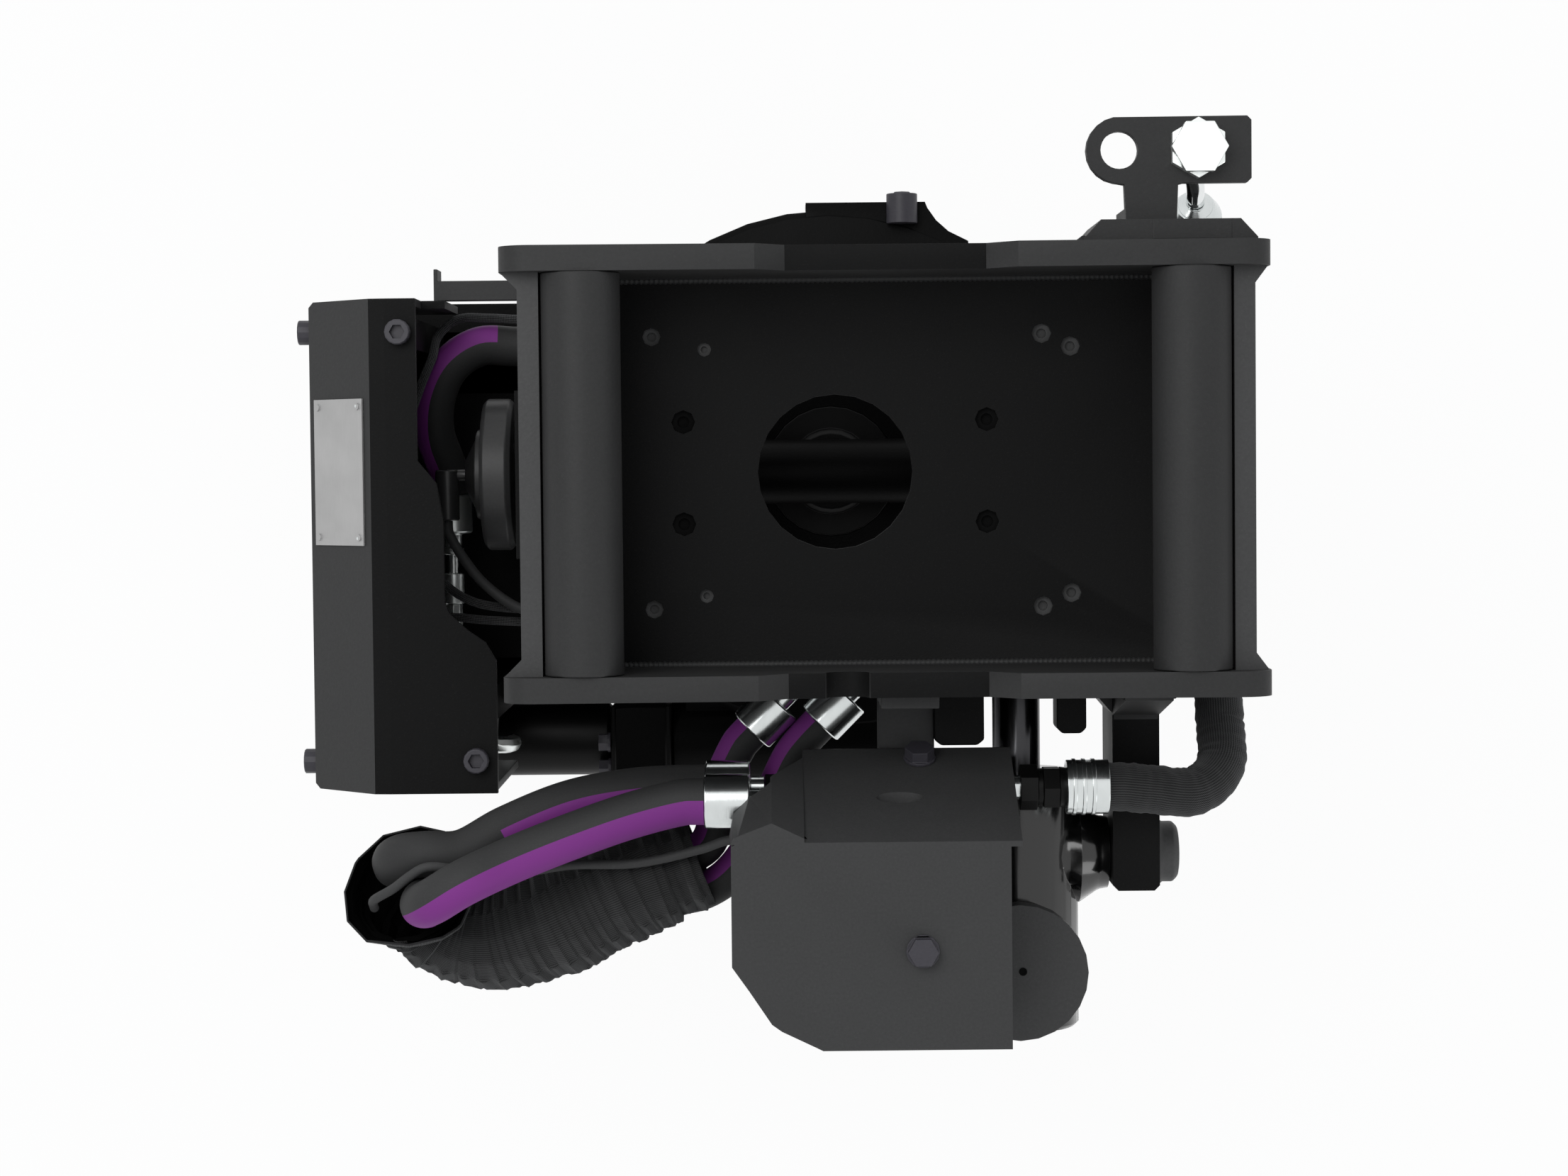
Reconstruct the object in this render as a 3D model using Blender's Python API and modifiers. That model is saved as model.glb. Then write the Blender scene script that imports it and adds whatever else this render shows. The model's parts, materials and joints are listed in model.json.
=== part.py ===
"""Tiltrotator for a 12 to 16 tonne excavator: pinned upper adapter, tilting rotor housing, lower coupler.

X runs along the tilt axis, Y across the machine and Z up. The origin is on the turning axis of the rotor,
at the bottom of the lower coupler. Every length below is in millimetres.
"""
import math

import bmesh
import bpy
from mathutils import Matrix, Vector

MM = 0.001
GAP = 0.3
RUNNING = 0.6

# Upper adapter: two pins that the machine's coupler takes, between two side plates
PIN_PITCH = 430.0
PIN_R = 28.0
PIN_LEFT_X = -180.0
SPIGOT_R = 19.0
ADAPTER_HALF = 160.0
PLATE_T = 18.0
PLATE_BOTTOM = 480.0
PLATE_HEIGHT = 135.0
PLATE_TOP = PLATE_BOTTOM + PLATE_HEIGHT
PIN_Z = PLATE_TOP - 25.0
PLATE_LEFT_X = -237.0
PLATE_RIGHT_X = 305.0
PLATE_NOSE_R = 22.0
DIP_LEFT_X = -36.0
DIP_RIGHT_X = 106.0
DIP_DEPTH = 26.0
DECK_T = 14.0
DECK_BOTTOM = 484.0
END_BAR_T = 15.0
END_BAR_BOTTOM = PLATE_TOP - 75.0
FLARE = 12.0
BOSS_DEPTH = 15.0

# Hose bracket on the far side, and the coupling in it
BRACKET_TOP = 575.0
BRACKET_T = 10.0
BRACKET_Y = 225.5
BRACKET_HALF = 23.5
BRACKET_HOLE_X = 201.5
COUPLING_X = 258.0
COUPLING_STEM_R = 14.0
COUPLING_TAIL = 56.0

# Tilt axle
AXLE_Z = 350.0
AXLE_R = 25.0
BUSH_R = 31.0
AXLE_LEFT_X = -286.0
AXLE_RIGHT_X = 246.0
EAR_R = 44.0
LEFT_EAR_X = (-236.0, -211.0)
RIGHT_EAR_X = (212.0, 236.0)
AXLE_DISC_R = 59.0
AXLE_DISC_X = (-271.0, -247.0)

# Rotor housing
CAVITY_R = 191.0
CASE_WALL = 21.0
CASE_R = CAVITY_R + CASE_WALL
CASE_BOTTOM = 185.0
CASE_TOP = 245.0
CAVITY_TOP = 228.0
CROWN_TOP = 290.0
CROWN_HALF_Y = 70.0
LEFT_PEDESTAL_X = (-205.0, -150.0)
RIGHT_PEDESTAL_X = (182.0, 206.0)

# Worm drive
WORM_Y = -220.0
WORM_Z = 207.0
WORM_TIP_R = 30.0
JOURNAL_R = 14.0
WORM_BORE_R = 32.0
WORM_HOUSING_R = 39.0
WORM_RIGHT_X = 78.0
MOTOR_BLOCK_X = (-181.0, -132.0)
MOTOR_LEFT_X = -277.0
MOTOR_R = 30.0
MOTOR_BOLTS = ((0.0, 38.7), (-21.5, 32.5))

# Rotor and ring gear
GEAR_TEETH = 60
GEAR_TIP_R = 188.0
GEAR_ROOT_R = 181.0
GEAR_BORE_R = 125.0
GEAR_Z = (190.0, 224.0)
ROTOR_FLANGE_R = 165.0
ROTOR_FLANGE_Z = (150.0, 183.0)
SWIVEL_R = 52.0

# Lower coupler
COUPLER_HALF = 140.0
COUPLER_PLATE_T = 24.0
COUPLER_DECK_Z = (128.0, 151.0)
HOOK_PIN_R = 26.0
HOOK_X = -215.0
HOOK_Z = 60.0
JAW_X = 215.0
LOCK_PIN_R = 14.0
LOCK_PIN_Y = 90.0
LOCK_Z = 18.0
LOCK_REACH_X = 232.0
LOCK_STROKE = 45.0
LOCK_ROD_R = 12.0
LOCK_CYLINDER_Z = 33.0
LOCK_CYLINDER_R = 24.0
LOCK_CYLINDER_X = (-96.0, 10.0)
CROSSHEAD_X = (62.0, 84.0)
BELLY_X = (-100.0, 12.0)
BELLY_T = 8.0

# Tilt cylinder, lying across the machine and hung on a pin in the adapter's lug
TRUNNION_Y = -290.0
TRUNNION_Z = 435.0
ROD_PIN_Y = 45.0
BARREL_X = 136.0
BARREL_R = 46.0
BARREL_INNER_Y = -227.0
BARREL_OUTER_Y = -420.0
ROD_R = 18.0
ROD_EYE_R = 23.0
ROD_EYE_W = 36.0
FORK_GAP = 41.0
FORK_CHEEK_T = 19.0
FORK_R = 28.0
ROD_PIN_R = 12.0
CAP_R = 50.5
CAP_Z = (482.0, 502.0)
CAP_Y = -371.0
LUG_X = (205.0, 240.0)
LUG_OUTER_Y = -315.0
LUG_Z = (400.0, 472.0)
TRUNNION_R = 20.0
TRUNNION_HEAD_R = 23.0
TRUNNION_HEAD_X = 257.0
CAVITY_BORE_R = 38.0
GLAND_T = 22.0
PISTON_R = 37.2
PISTON_T = 24.0

# Valve cover, a folded steel box over the valve block
COVER_LOW_Z = 476.0
COVER_HEIGHT = 124.0
COVER_TOP = COVER_LOW_Z + COVER_HEIGHT
COVER_T = 5.0
COVER_LEFT_X = -78.0
COVER_RIGHT_X = 120.0
COVER_OUTER_Y = -409.0
COVER_INNER_TOP_Y = -261.0
COVER_INNER_LOW_Y = -206.0
WALL_FOOT = 6.0
WALL_RIGHT_X = 128.0
CORNER_RIGHT_X = -26.0
CORNER_LOW_Z = COVER_TOP - 53.0
BLOCK_X = (-52.0, 78.0)
BLOCK_Y = (-366.0, -246.0)
BLOCK_Z = (COVER_LOW_Z, COVER_TOP - 54.0)
POST_R = 9.0
TOP_BOLT = (57.0, -338.5)
OUTER_BOLT = (57.5, 530.0)

# Ports of the valve block, with the crimped hose ends in them
PORT_X = (-54.0, -30.0)
NECK_R = 8.0
FERRULE_R = 20.0
FERRULE_X = (-65.0, -98.2)
FRONT_PORT_Y = -239.0
FRONT_PORT_Z = 526.0
BACK_PORT_Y = -233.0
BACK_PORT_Z = 484.0
RIGHT_PORT_Y = -234.0
RIGHT_PORT_Z = 500.0
RIGHT_NECK_R = 8.0
RIGHT_EAR_END_X = 90.0
RIGHT_FERRULE_X = (162.0, 198.0)
LOOP_FERRULE_R = 18.5
LOOP_MOUTHS = ((-64.0, -194.0, 450.0), (-13.0, -189.0, 450.0))

# Guard over the worm motor and the left-hand hoses
GUARD_TOP = 465.0
GUARD_T = 6.0
GUARD_LEFT_X = -398.0
GUARD_FOLD_X = -340.0
GUARD_TOP_Y = 132.0
GUARD_LOW_Y = -238.0
GUARD_FOOT_Z = 262.0
GUARD_SLOPE = 52.0
GUARD_EDGE_X = -311.0
GUARD_SCREWS = ((-323.5, 106.8), (-269.3, -212.9))

# Plates on the gear case that hold the motor hose and the cables: name, Y, Z and radius of each seat
CABLE_PLATE_X = -175.0
CABLE_SEATS = (("seat_hose", 98.5, 343.0, 19.0), ("seat_far_cable", 121.0, 356.0, 6.0),
               ("seat_sensor", -108.0, 356.0, 6.0), ("seat_near_cable", -106.0, 342.0, 6.0),
               ("seat_motor_cable", -117.0, 328.0, 6.0))

# Hoses
HOSE_R = 17.0
LOOP_TAIL_R = 14.0
MOTOR_HOSE_R = 15.5
RIGHT_HOSE_R = 18.0
SLEEVE_R = 38.0
CABLE_R = 3.5
PIPE_R = 7.0

# Fasteners
M12_HEAD_AF = 19.0
M12_HEAD_H = 8.0
M8_HEAD_AF = 13.0
WASHER_SHARE = 0.63
SOCKET_HEAD_R = 9.5
SOCKET_HEAD_H = 10.0

PAINT = ("housing_paint", (0.045, 0.046, 0.048, 1.0), 0.62, 0.0)
ADAPTER_PAINT = ("adapter_paint", (0.035, 0.036, 0.038, 1.0), 0.6, 0.0)
GLOSS_BLACK = ("gloss_black", (0.02, 0.021, 0.023, 1.0), 0.22, 0.0)
STEEL = ("bright_steel", (0.62, 0.65, 0.66, 1.0), 0.25, 1.0)
DARK_STEEL = ("dark_steel", (0.09, 0.09, 0.1, 1.0), 0.45, 0.8)
RUBBER = ("hose_rubber", (0.04, 0.04, 0.042, 1.0), 0.7, 0.0)
TEXTILE = ("textile_sleeve", (0.022, 0.022, 0.023, 1.0), 0.9, 0.0)
ALUMINIUM = ("valve_aluminium", (0.3, 0.31, 0.32, 1.0), 0.45, 0.9)
PLATE_GREY = ("type_plate_grey", (0.42, 0.43, 0.44, 1.0), 0.5, 0.3)
CHROME = ("rod_chrome", (0.75, 0.77, 0.78, 1.0), 0.08, 1.0)


def clear_scene():
    for thing in list(bpy.data.objects):
        bpy.data.objects.remove(thing, do_unlink=True)


def new_collection(name):
    group = bpy.data.collections.new(name)
    bpy.context.scene.collection.children.link(group)
    return group


def material(spec):
    """A Principled material for a (name, colour, roughness, metallic) value."""
    name, colour, roughness, metallic = spec
    made = bpy.data.materials.get(name)
    if made is None:
        made = bpy.data.materials.new(name)
        made.use_nodes = True
        shader = made.node_tree.nodes["Principled BSDF"]
        shader.inputs["Base Color"].default_value = colour
        shader.inputs["Roughness"].default_value = roughness
        shader.inputs["Metallic"].default_value = metallic
    return made


clear_scene()
PARTS = new_collection("tiltrotator")
CUTTERS = new_collection("cutters")


def add_object(name, data, spec=None, smooth=False):
    """Link a mesh or curve: a part when it has a material, and a cutter when it has none."""
    thing = bpy.data.objects.new(name, data)
    if spec is None:
        thing.hide_render = True
        thing.display_type = "WIRE"
        CUTTERS.objects.link(thing)
    else:
        data.materials.append(material(spec))
        PARTS.objects.link(thing)
    if smooth:
        data.shade_smooth()
        data.set_sharp_from_angle(angle=math.radians(32))
    return thing


def box(name, low, high, spec=None, turn=0.0):
    """A box between two corners, turned about its own upright axis by `turn` degrees."""
    shape = bmesh.new()
    bmesh.ops.create_cube(shape, size=1.0)
    size = [(b - a) * MM for a, b in zip(low, high)]
    middle = Vector([(a + b) / 2 * MM for a, b in zip(low, high)])
    bmesh.ops.scale(shape, vec=size, verts=shape.verts)
    bmesh.ops.rotate(shape, cent=(0, 0, 0), matrix=Matrix.Rotation(math.radians(turn), 3, "Z"),
                     verts=shape.verts)
    mesh = bpy.data.meshes.new(name)
    shape.to_mesh(mesh)
    shape.free()
    thing = add_object(name, mesh, spec)
    thing.location = middle
    return thing


AXIS_FRAMES = {
    "X": (Vector((0, 1, 0)), Vector((0, 0, 1)), Vector((1, 0, 0))),
    "Y": (Vector((0, 0, 1)), Vector((1, 0, 0)), Vector((0, 1, 0))),
    "Z": (Vector((1, 0, 0)), Vector((0, 1, 0)), Vector((0, 0, 1))),
}


def prism(name, outline, axis, span, spec=None, smooth=False):
    """Push a flat outline along an axis. The outline is in (Y, Z), (Z, X) or (X, Y) for X, Y or Z."""
    first, second, along = AXIS_FRAMES[axis]
    shape = bmesh.new()
    verts = [shape.verts.new((first * a + second * b + along * span[0]) * MM) for a, b in outline]
    face = shape.faces.new(verts)
    grown = bmesh.ops.extrude_face_region(shape, geom=[face])
    moved = [item for item in grown["geom"] if isinstance(item, bmesh.types.BMVert)]
    bmesh.ops.translate(shape, vec=along * (span[1] - span[0]) * MM, verts=moved)
    bmesh.ops.recalc_face_normals(shape, faces=shape.faces)
    mesh = bpy.data.meshes.new(name)
    shape.to_mesh(mesh)
    shape.free()
    return add_object(name, mesh, spec, smooth)


def loft(name, low, high):
    """A cutter or joined shape between two outlines with the same number of (X, Y, Z) corners."""
    shape = bmesh.new()
    bottom = [shape.verts.new(Vector(p) * MM) for p in low]
    top = [shape.verts.new(Vector(p) * MM) for p in high]
    shape.faces.new(bottom)
    shape.faces.new(top)
    for i in range(len(low)):
        j = (i + 1) % len(low)
        shape.faces.new((bottom[i], bottom[j], top[j], top[i]))
    bmesh.ops.triangulate(shape, faces=shape.faces)
    bmesh.ops.recalc_face_normals(shape, faces=shape.faces)
    mesh = bpy.data.meshes.new(name)
    shape.to_mesh(mesh)
    shape.free()
    return add_object(name, mesh)


def turned(name, profile, direction, centre, spec=None, steps=32):
    """A turned piece. The profile lists (radius, height) down the outer side, along `direction`."""
    mesh = bpy.data.meshes.new(name)
    points = [(radius * MM, 0.0, height * MM) for radius, height in profile]
    edges = [(i, i + 1) for i in range(len(points) - 1)]
    if profile[0][0] > 0.0:
        edges.append((len(points) - 1, 0))
    mesh.from_pydata(points, edges, [])
    thing = add_object(name, mesh, spec)
    screw = thing.modifiers.new("turn", "SCREW")
    screw.steps = steps
    screw.render_steps = steps
    screw.use_merge_vertices = True
    screw.merge_threshold = 0.00001
    screw.use_smooth_shade = True
    thing.rotation_mode = "QUATERNION"
    thing.rotation_quaternion = Vector((0, 0, 1)).rotation_difference(Vector(direction))
    thing.location = Vector(centre) * MM
    return thing


def cylinder(name, radius, start, end, spec=None, steps=32, edge=0.0):
    """A plain cylinder between two points, with both rims chamfered by `edge`."""
    low, high = Vector(start), Vector(end)
    length = (high - low).length
    rim = [(radius - edge, length), (radius, length - edge)] if edge else [(radius, length)]
    foot = [(radius, edge), (radius - edge, 0.0)] if edge else [(radius, 0.0)]
    return turned(name, [(0.0, length)] + rim + foot + [(0.0, 0.0)], high - low, start, spec, steps)


def boolean(target, tool, operation):
    change = target.modifiers.new(operation.lower(), "BOOLEAN")
    change.operation = operation
    change.solver = "EXACT"
    change.object = tool


def cut(target, *tools):
    for tool in tools:
        boolean(target, tool, "DIFFERENCE")


def join(target, *tools):
    for tool in tools:
        boolean(target, tool, "UNION")


def bevel(thing, width, segments=1):
    """Break the sharp edges, before any cut that follows."""
    change = thing.modifiers.new("edges", "BEVEL")
    change.width = width * MM
    change.segments = segments
    change.limit_method = "ANGLE"
    change.angle_limit = math.radians(40)
    return thing


def arc(centre, radius, start, end, steps):
    """Points on an arc, angles in degrees."""
    turn = (end - start) / steps
    angles = [math.radians(start + turn * i) for i in range(steps + 1)]
    return [(centre[0] + radius * math.cos(a), centre[1] + radius * math.sin(a)) for a in angles]


def smooth_route(points, per_span):
    """A smooth curve through hand-set points (Catmull-Rom). Its first and last spans stay straight."""
    spots = [Vector(p) for p in points]
    route = [spots[0]]
    for a, b, c, d in zip(spots, spots[1:], spots[2:], spots[3:]):
        for i in range(per_span):
            t = i / per_span
            route.append(0.5 * (b * 2 + (c - a) * t + (a * 2 - b * 5 + c * 4 - d) * t * t
                                + (b * 3 - a - c * 3 + d) * t * t * t))
    return route + spots[-2:]


def hose(name, points, radius, spec, per_span, sides=2):
    """A hose or cable through hand-set points. A fourth value is the point's share of the radius."""
    route = smooth_route([(*point, 1.0)[:4] for point in points], per_span)
    curve = bpy.data.curves.new(name, "CURVE")
    curve.dimensions = "3D"
    curve.bevel_depth = radius * MM
    curve.bevel_resolution = sides
    curve.use_fill_caps = True
    spline = curve.splines.new("POLY")
    spline.points.add(len(route) - 1)
    for point, place in zip(spline.points, route):
        point.co = (*(place.xyz * MM), 1.0)
        point.radius = place.w
    curve.materials.append(material(spec))
    thing = bpy.data.objects.new(name, curve)
    PARTS.objects.link(thing)
    return thing


def hex_bolt(name, base, direction, af=M12_HEAD_AF):
    """A hexagon bolt head on its washer face, standing on `base`."""
    way = Vector(direction).normalized()
    start = Vector(base) + way * GAP
    washer = 2.0
    corner = af / math.sqrt(3)
    thing = turned(name, [(0, washer + M12_HEAD_H), (corner, washer + M12_HEAD_H), (corner, washer),
                          (0, washer)], way, start, DARK_STEEL, 6)
    ring = cylinder(name + "_washer", WASHER_SHARE * af, start, start + way * (washer + 0.5), None, 14)
    join(thing, ring)
    thing.modifiers[0].use_smooth_shade = False
    return thing


def socket_screw(name, base, direction):
    """A cylinder head with its hexagon socket."""
    way = Vector(direction).normalized()
    start = Vector(base) + way * GAP
    thing = cylinder(name, SOCKET_HEAD_R, start, start + way * SOCKET_HEAD_H, DARK_STEEL, 14, 0.8)
    key_r = 10.0 / math.sqrt(3)
    depth = 5.5
    key = turned(name + "_key", [(0, depth + 1), (key_r, depth + 1), (key_r, 0), (0, 0)], way,
                 start + way * (SOCKET_HEAD_H - depth), None, 6)
    cut(thing, key)
    return thing


def side_plate_outline():
    """Side plate seen along Y, as (Z, X): rounded noses, a shallow fall to the middle and a flat dip."""
    fall = 5.0
    nose = PLATE_NOSE_R
    left = arc((PLATE_LEFT_X + nose, PLATE_TOP - nose), nose, 180, 90, 6)
    right = arc((PLATE_RIGHT_X - nose, PLATE_TOP - nose), nose, 90, 0, 6)
    dip = PLATE_TOP - DIP_DEPTH
    slope = DIP_DEPTH - fall
    middle = [(DIP_LEFT_X - slope, PLATE_TOP - fall), (DIP_LEFT_X, dip), (DIP_RIGHT_X, dip),
              (DIP_RIGHT_X + slope, PLATE_TOP - fall)]
    heel = 28.0
    foot = [(PLATE_RIGHT_X, PLATE_BOTTOM + heel), (PLATE_RIGHT_X - heel, PLATE_BOTTOM),
            (PLATE_LEFT_X + heel, PLATE_BOTTOM), (PLATE_LEFT_X, PLATE_BOTTOM + heel)]
    return [(z, x) for x, z in left + middle + right + foot]


def end_bar(name, x_in, x_out, reach):
    """Cross bar between the side plates, flared at both ends."""
    inner = ADAPTER_HALF - PLATE_T + 2.0
    way = 1 if x_out > x_in else -1
    outline = [(x_in, -inner), (x_out + way * reach, -inner), (x_out + way * reach, -inner + 2.0),
               (x_out, -inner + 2.0 + FLARE), (x_out, inner - 2.0 - FLARE),
               (x_out + way * reach, inner - 2.0), (x_out + way * reach, inner), (x_in, inner)]
    return prism(name, outline, "Z", (END_BAR_BOTTOM, PLATE_TOP - 18.0))


def bearing_ear(name, span, top):
    """A plate with a round foot around the tilt axle."""
    outline = arc((0.0, AXLE_Z), EAR_R, 200, 340, 10)
    outline += [(EAR_R + 18.0, top), (-EAR_R - 18.0, top)]
    return prism(name, outline, "X", span)


def adapter_frame():
    """Welded adapter: side plates, deck, cross bars, axle ears, cylinder lug and bracket boss."""
    inner = ADAPTER_HALF - PLATE_T
    frame = prism("adapter_frame", side_plate_outline(), "Y", (inner, ADAPTER_HALF), ADAPTER_PAINT)
    other = prism("plate_low", side_plate_outline(), "Y", (-ADAPTER_HALF, -inner))
    deck = box("deck", (PLATE_LEFT_X + 12, -inner - 2, DECK_BOTTOM),
               (PLATE_RIGHT_X - 12, inner + 2, DECK_BOTTOM + DECK_T))
    bar_left_in = PIN_LEFT_X - PIN_R - 1.0
    bar_right_in = PIN_LEFT_X + PIN_PITCH + PIN_R + 1.0
    left_bar = end_bar("bar_left", bar_left_in, bar_left_in - END_BAR_T, FLARE)
    right_bar = end_bar("bar_right", bar_right_in, bar_right_in + END_BAR_T, 9.0)
    ear_left = bearing_ear("ear_left", LEFT_EAR_X, DECK_BOTTOM + 4)
    ear_right = bearing_ear("ear_right", RIGHT_EAR_X, DECK_BOTTOM + 4)
    join(frame, deck, other, left_bar, right_bar, ear_left, ear_right)
    join(frame, lug(), bracket_boss())
    wall = 2.0
    end_plates = [box("end_plate_left", (PLATE_LEFT_X + 13, -inner - wall, DECK_BOTTOM + 3),
                      (bar_left_in, inner + wall, END_BAR_BOTTOM + 3)),
                  box("end_plate_right", (bar_right_in, -inner - wall, DECK_BOTTOM + 3),
                      (bar_right_in + END_BAR_T, inner + wall, END_BAR_BOTTOM + 3))]
    join(frame, *end_plates)
    cut(frame, *adapter_holes())
    return frame


def lug():
    """Lug that carries the tilt cylinder, with its flared welding foot."""
    flare = 12.0
    foot_y = -ADAPTER_HALF + 2.0
    flare_y = -ADAPTER_HALF - 22.0
    low, high = LUG_X
    edge = 4.0
    outline = [(low - flare, foot_y), (low - flare, -ADAPTER_HALF - 8), (low, flare_y),
               (low, LUG_OUTER_Y + edge),
               (low + edge, LUG_OUTER_Y), (high - edge, LUG_OUTER_Y), (high, LUG_OUTER_Y + edge),
               (high, flare_y), (high + flare, -ADAPTER_HALF - 8), (high + flare, foot_y)]
    body = prism("lug", outline, "Z", (LUG_Z[0], LUG_Z[1]))
    gusset_outline = [(-ADAPTER_HALF + 2, LUG_Z[1] - 4), (-ADAPTER_HALF + 2, 560.0),
                      (-ADAPTER_HALF - 6, 560.0),
                      (-ADAPTER_HALF - 24, LUG_Z[1] - 4)]
    gusset = prism("lug_gusset", gusset_outline, "X", (low, high))
    under_outline = [(-ADAPTER_HALF + 4, LUG_Z[0] + 20), (-ADAPTER_HALF + 4, PLATE_BOTTOM + 10),
                     (-ADAPTER_HALF - 30, PLATE_BOTTOM - 10), (-ADAPTER_HALF - 30, LUG_Z[0] + 10)]
    under = prism("lug_under", under_outline, "X", (low + 1, high - 1))
    join(body, gusset, under)
    return body


def bracket_boss():
    """Block outside the far side plate that the hose bracket is bolted to."""
    outer = ADAPTER_HALF + BOSS_DEPTH
    outline = [(174.0, ADAPTER_HALF - 2), (296.0, ADAPTER_HALF - 2), (296.0, ADAPTER_HALF + 2),
               (284.0, outer), (186.0, outer), (174.0, ADAPTER_HALF + 2)]
    return prism("bracket_boss", outline, "Z", (500.0, 598.0))


def adapter_holes():
    """Bores for pins and axle, the round window in the deck and its smaller holes."""
    tools = []
    for index, x in enumerate((PIN_LEFT_X, PIN_LEFT_X + PIN_PITCH)):
        tools.append(cylinder(f"pin_bore_{index}", SPIGOT_R + GAP, (x, -ADAPTER_HALF - 5, PIN_Z),
                              (x, ADAPTER_HALF + 5, PIN_Z), None, 20))
    tools.append(cylinder("axle_bore", BUSH_R + GAP, (LEFT_EAR_X[0] - 5, 0, AXLE_Z),
                          (RIGHT_EAR_X[1] + 5, 0, AXLE_Z), None, 24))
    through = (DECK_BOTTOM - 3, DECK_BOTTOM + DECK_T + 3)
    holes = [(0.0, 0.0, 57.0)]
    holes += [(sx * 111.5, sy * 37.5, 8.8) for sx in (-1, 1) for sy in (-1, 1)]
    holes += [(-95.5, sy * 90.5, 5.3) for sy in (-1, 1)]
    holes += [(-134.0, sy * 100.0, 6.8) for sy in (-1, 1)]
    holes += [(x, sy * y, 7.3) for x, y in ((152.0, 100.0), (173.0, 90.5)) for sy in (-1, 1)]
    for index, (x, y, r) in enumerate(holes):
        tools.append(cylinder(f"deck_hole_{index}", r, (x, y, through[0]), (x, y, through[1]), None,
                              24 if r > 20 else 8))
    tools.append(cylinder("lug_bore", TRUNNION_R + GAP, (LUG_X[0] - 5, TRUNNION_Y, TRUNNION_Z),
                          (LUG_X[1] + 5, TRUNNION_Y, TRUNNION_Z), None, 28))
    dip = PLATE_TOP - DIP_DEPTH
    tools.append(cylinder("hose_notch", 16.0, (6.0, -ADAPTER_HALF - 5, dip),
                          (6.0, -ADAPTER_HALF + PLATE_T + 5, dip),
                          None, 20))
    return tools


def adapter_pins():
    """The two round pins between the side plates, with spigots into the plates."""
    half = ADAPTER_HALF - PLATE_T - GAP
    for name, x in (("adapter_pin_left", PIN_LEFT_X), ("adapter_pin_right", PIN_LEFT_X + PIN_PITCH)):
        end = ADAPTER_HALF - 1.0
        profile = [(0, end), (SPIGOT_R, end), (SPIGOT_R, half), (PIN_R, half), (PIN_R, -half),
                   (SPIGOT_R, -half), (SPIGOT_R, -end), (0, -end)]
        turned(name, profile, (0, 1, 0), (x, 0, PIN_Z), ADAPTER_PAINT, 28)


def hose_bracket():
    """Bent plate with a round nose, a hole for the machine's hose and the coupling seat."""
    top, y = BRACKET_TOP, BRACKET_Y
    low = top - BRACKET_T
    root = ADAPTER_HALF + BOSS_DEPTH + GAP
    nose = arc((BRACKET_HOLE_X, y), BRACKET_HALF, 100, 260, 10)
    outline = nose + [(200.0, y - BRACKET_HALF), (205.0, y - BRACKET_HALF - 1), (206.0, root), (242.0, root),
                      (243.0, y - BRACKET_HALF - 1), (247.0, y - BRACKET_HALF), (292.0, y - BRACKET_HALF),
                      (295.0, y - BRACKET_HALF + 3), (295.0, y + BRACKET_HALF - 3),
                      (292.0, y + BRACKET_HALF)]
    plate = prism("hose_bracket", outline, "Z", (low, top), ADAPTER_PAINT)
    leg = box("bracket_leg", (206.5, root, 505), (241.5, root + BRACKET_T, top - 1))
    join(plate, leg)
    cut(plate,
        cylinder("bracket_hole", 13.3, (BRACKET_HOLE_X, y, low - 3), (BRACKET_HOLE_X, y, top + 3), None, 28))
    cut(plate, cylinder("coupling_hole", COUPLING_STEM_R + GAP, (COUPLING_X, y, low - 3),
                        (COUPLING_X, y, top + 3), None, 28))
    return plate


def bulkhead_coupling():
    """Coupling on the bracket: two stacked hexagons above, thread through and nut below."""
    top = BRACKET_TOP
    stem = COUPLING_STEM_R
    under = -BRACKET_T - GAP
    profile = [(0, 26), (11, 26), (21.5, 24), (21.5, GAP), (stem, GAP), (stem, under), (21.0, under),
               (21.0, under - 14), (stem, under - 14), (stem, -40), (11, -42), (11, -COUPLING_TAIL),
               (0, -COUPLING_TAIL)]
    return turned("bulkhead_coupling", profile, (0, 0, 1), (COUPLING_X, BRACKET_Y, top), STEEL, 12)


def tilt_axle():
    """Shaft with its retaining disc and hub on the left."""
    ends = [(0, AXLE_RIGHT_X), (AXLE_R - 2, AXLE_RIGHT_X), (AXLE_R, AXLE_RIGHT_X - 2),
            (AXLE_R, AXLE_DISC_X[1])]
    disc = [(AXLE_DISC_R - 4, AXLE_DISC_X[1]), (AXLE_DISC_R, AXLE_DISC_X[1] - 4),
            (AXLE_DISC_R, AXLE_DISC_X[0] + 3), (AXLE_DISC_R - 3, AXLE_DISC_X[0])]
    hub = [(35, AXLE_DISC_X[0]), (35, -277), (30, -277), (12, AXLE_LEFT_X), (0, AXLE_LEFT_X)]
    return turned("tilt_axle", ends + disc + hub, (1, 0, 0), (0, 0, AXLE_Z), GLOSS_BLACK, 24)


def axle_lock_plate():
    """Keeper plate on the right-hand end of the axle."""
    return cylinder("axle_lock_plate", 36.0, (AXLE_RIGHT_X + GAP, 0, AXLE_Z), (AXLE_RIGHT_X + 9, 0, AXLE_Z),
                    DARK_STEEL, 28, 1.5)


def pedestal(name, span):
    """Upright of the housing that holds the tilt axle."""
    outline = arc((0.0, AXLE_Z), EAR_R, 0, 180, 10)
    outline += [(-CROWN_HALF_Y + 6, CASE_TOP - 3), (CROWN_HALF_Y - 6, CASE_TOP - 3)]
    return prism(name, outline, "X", span)


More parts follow.
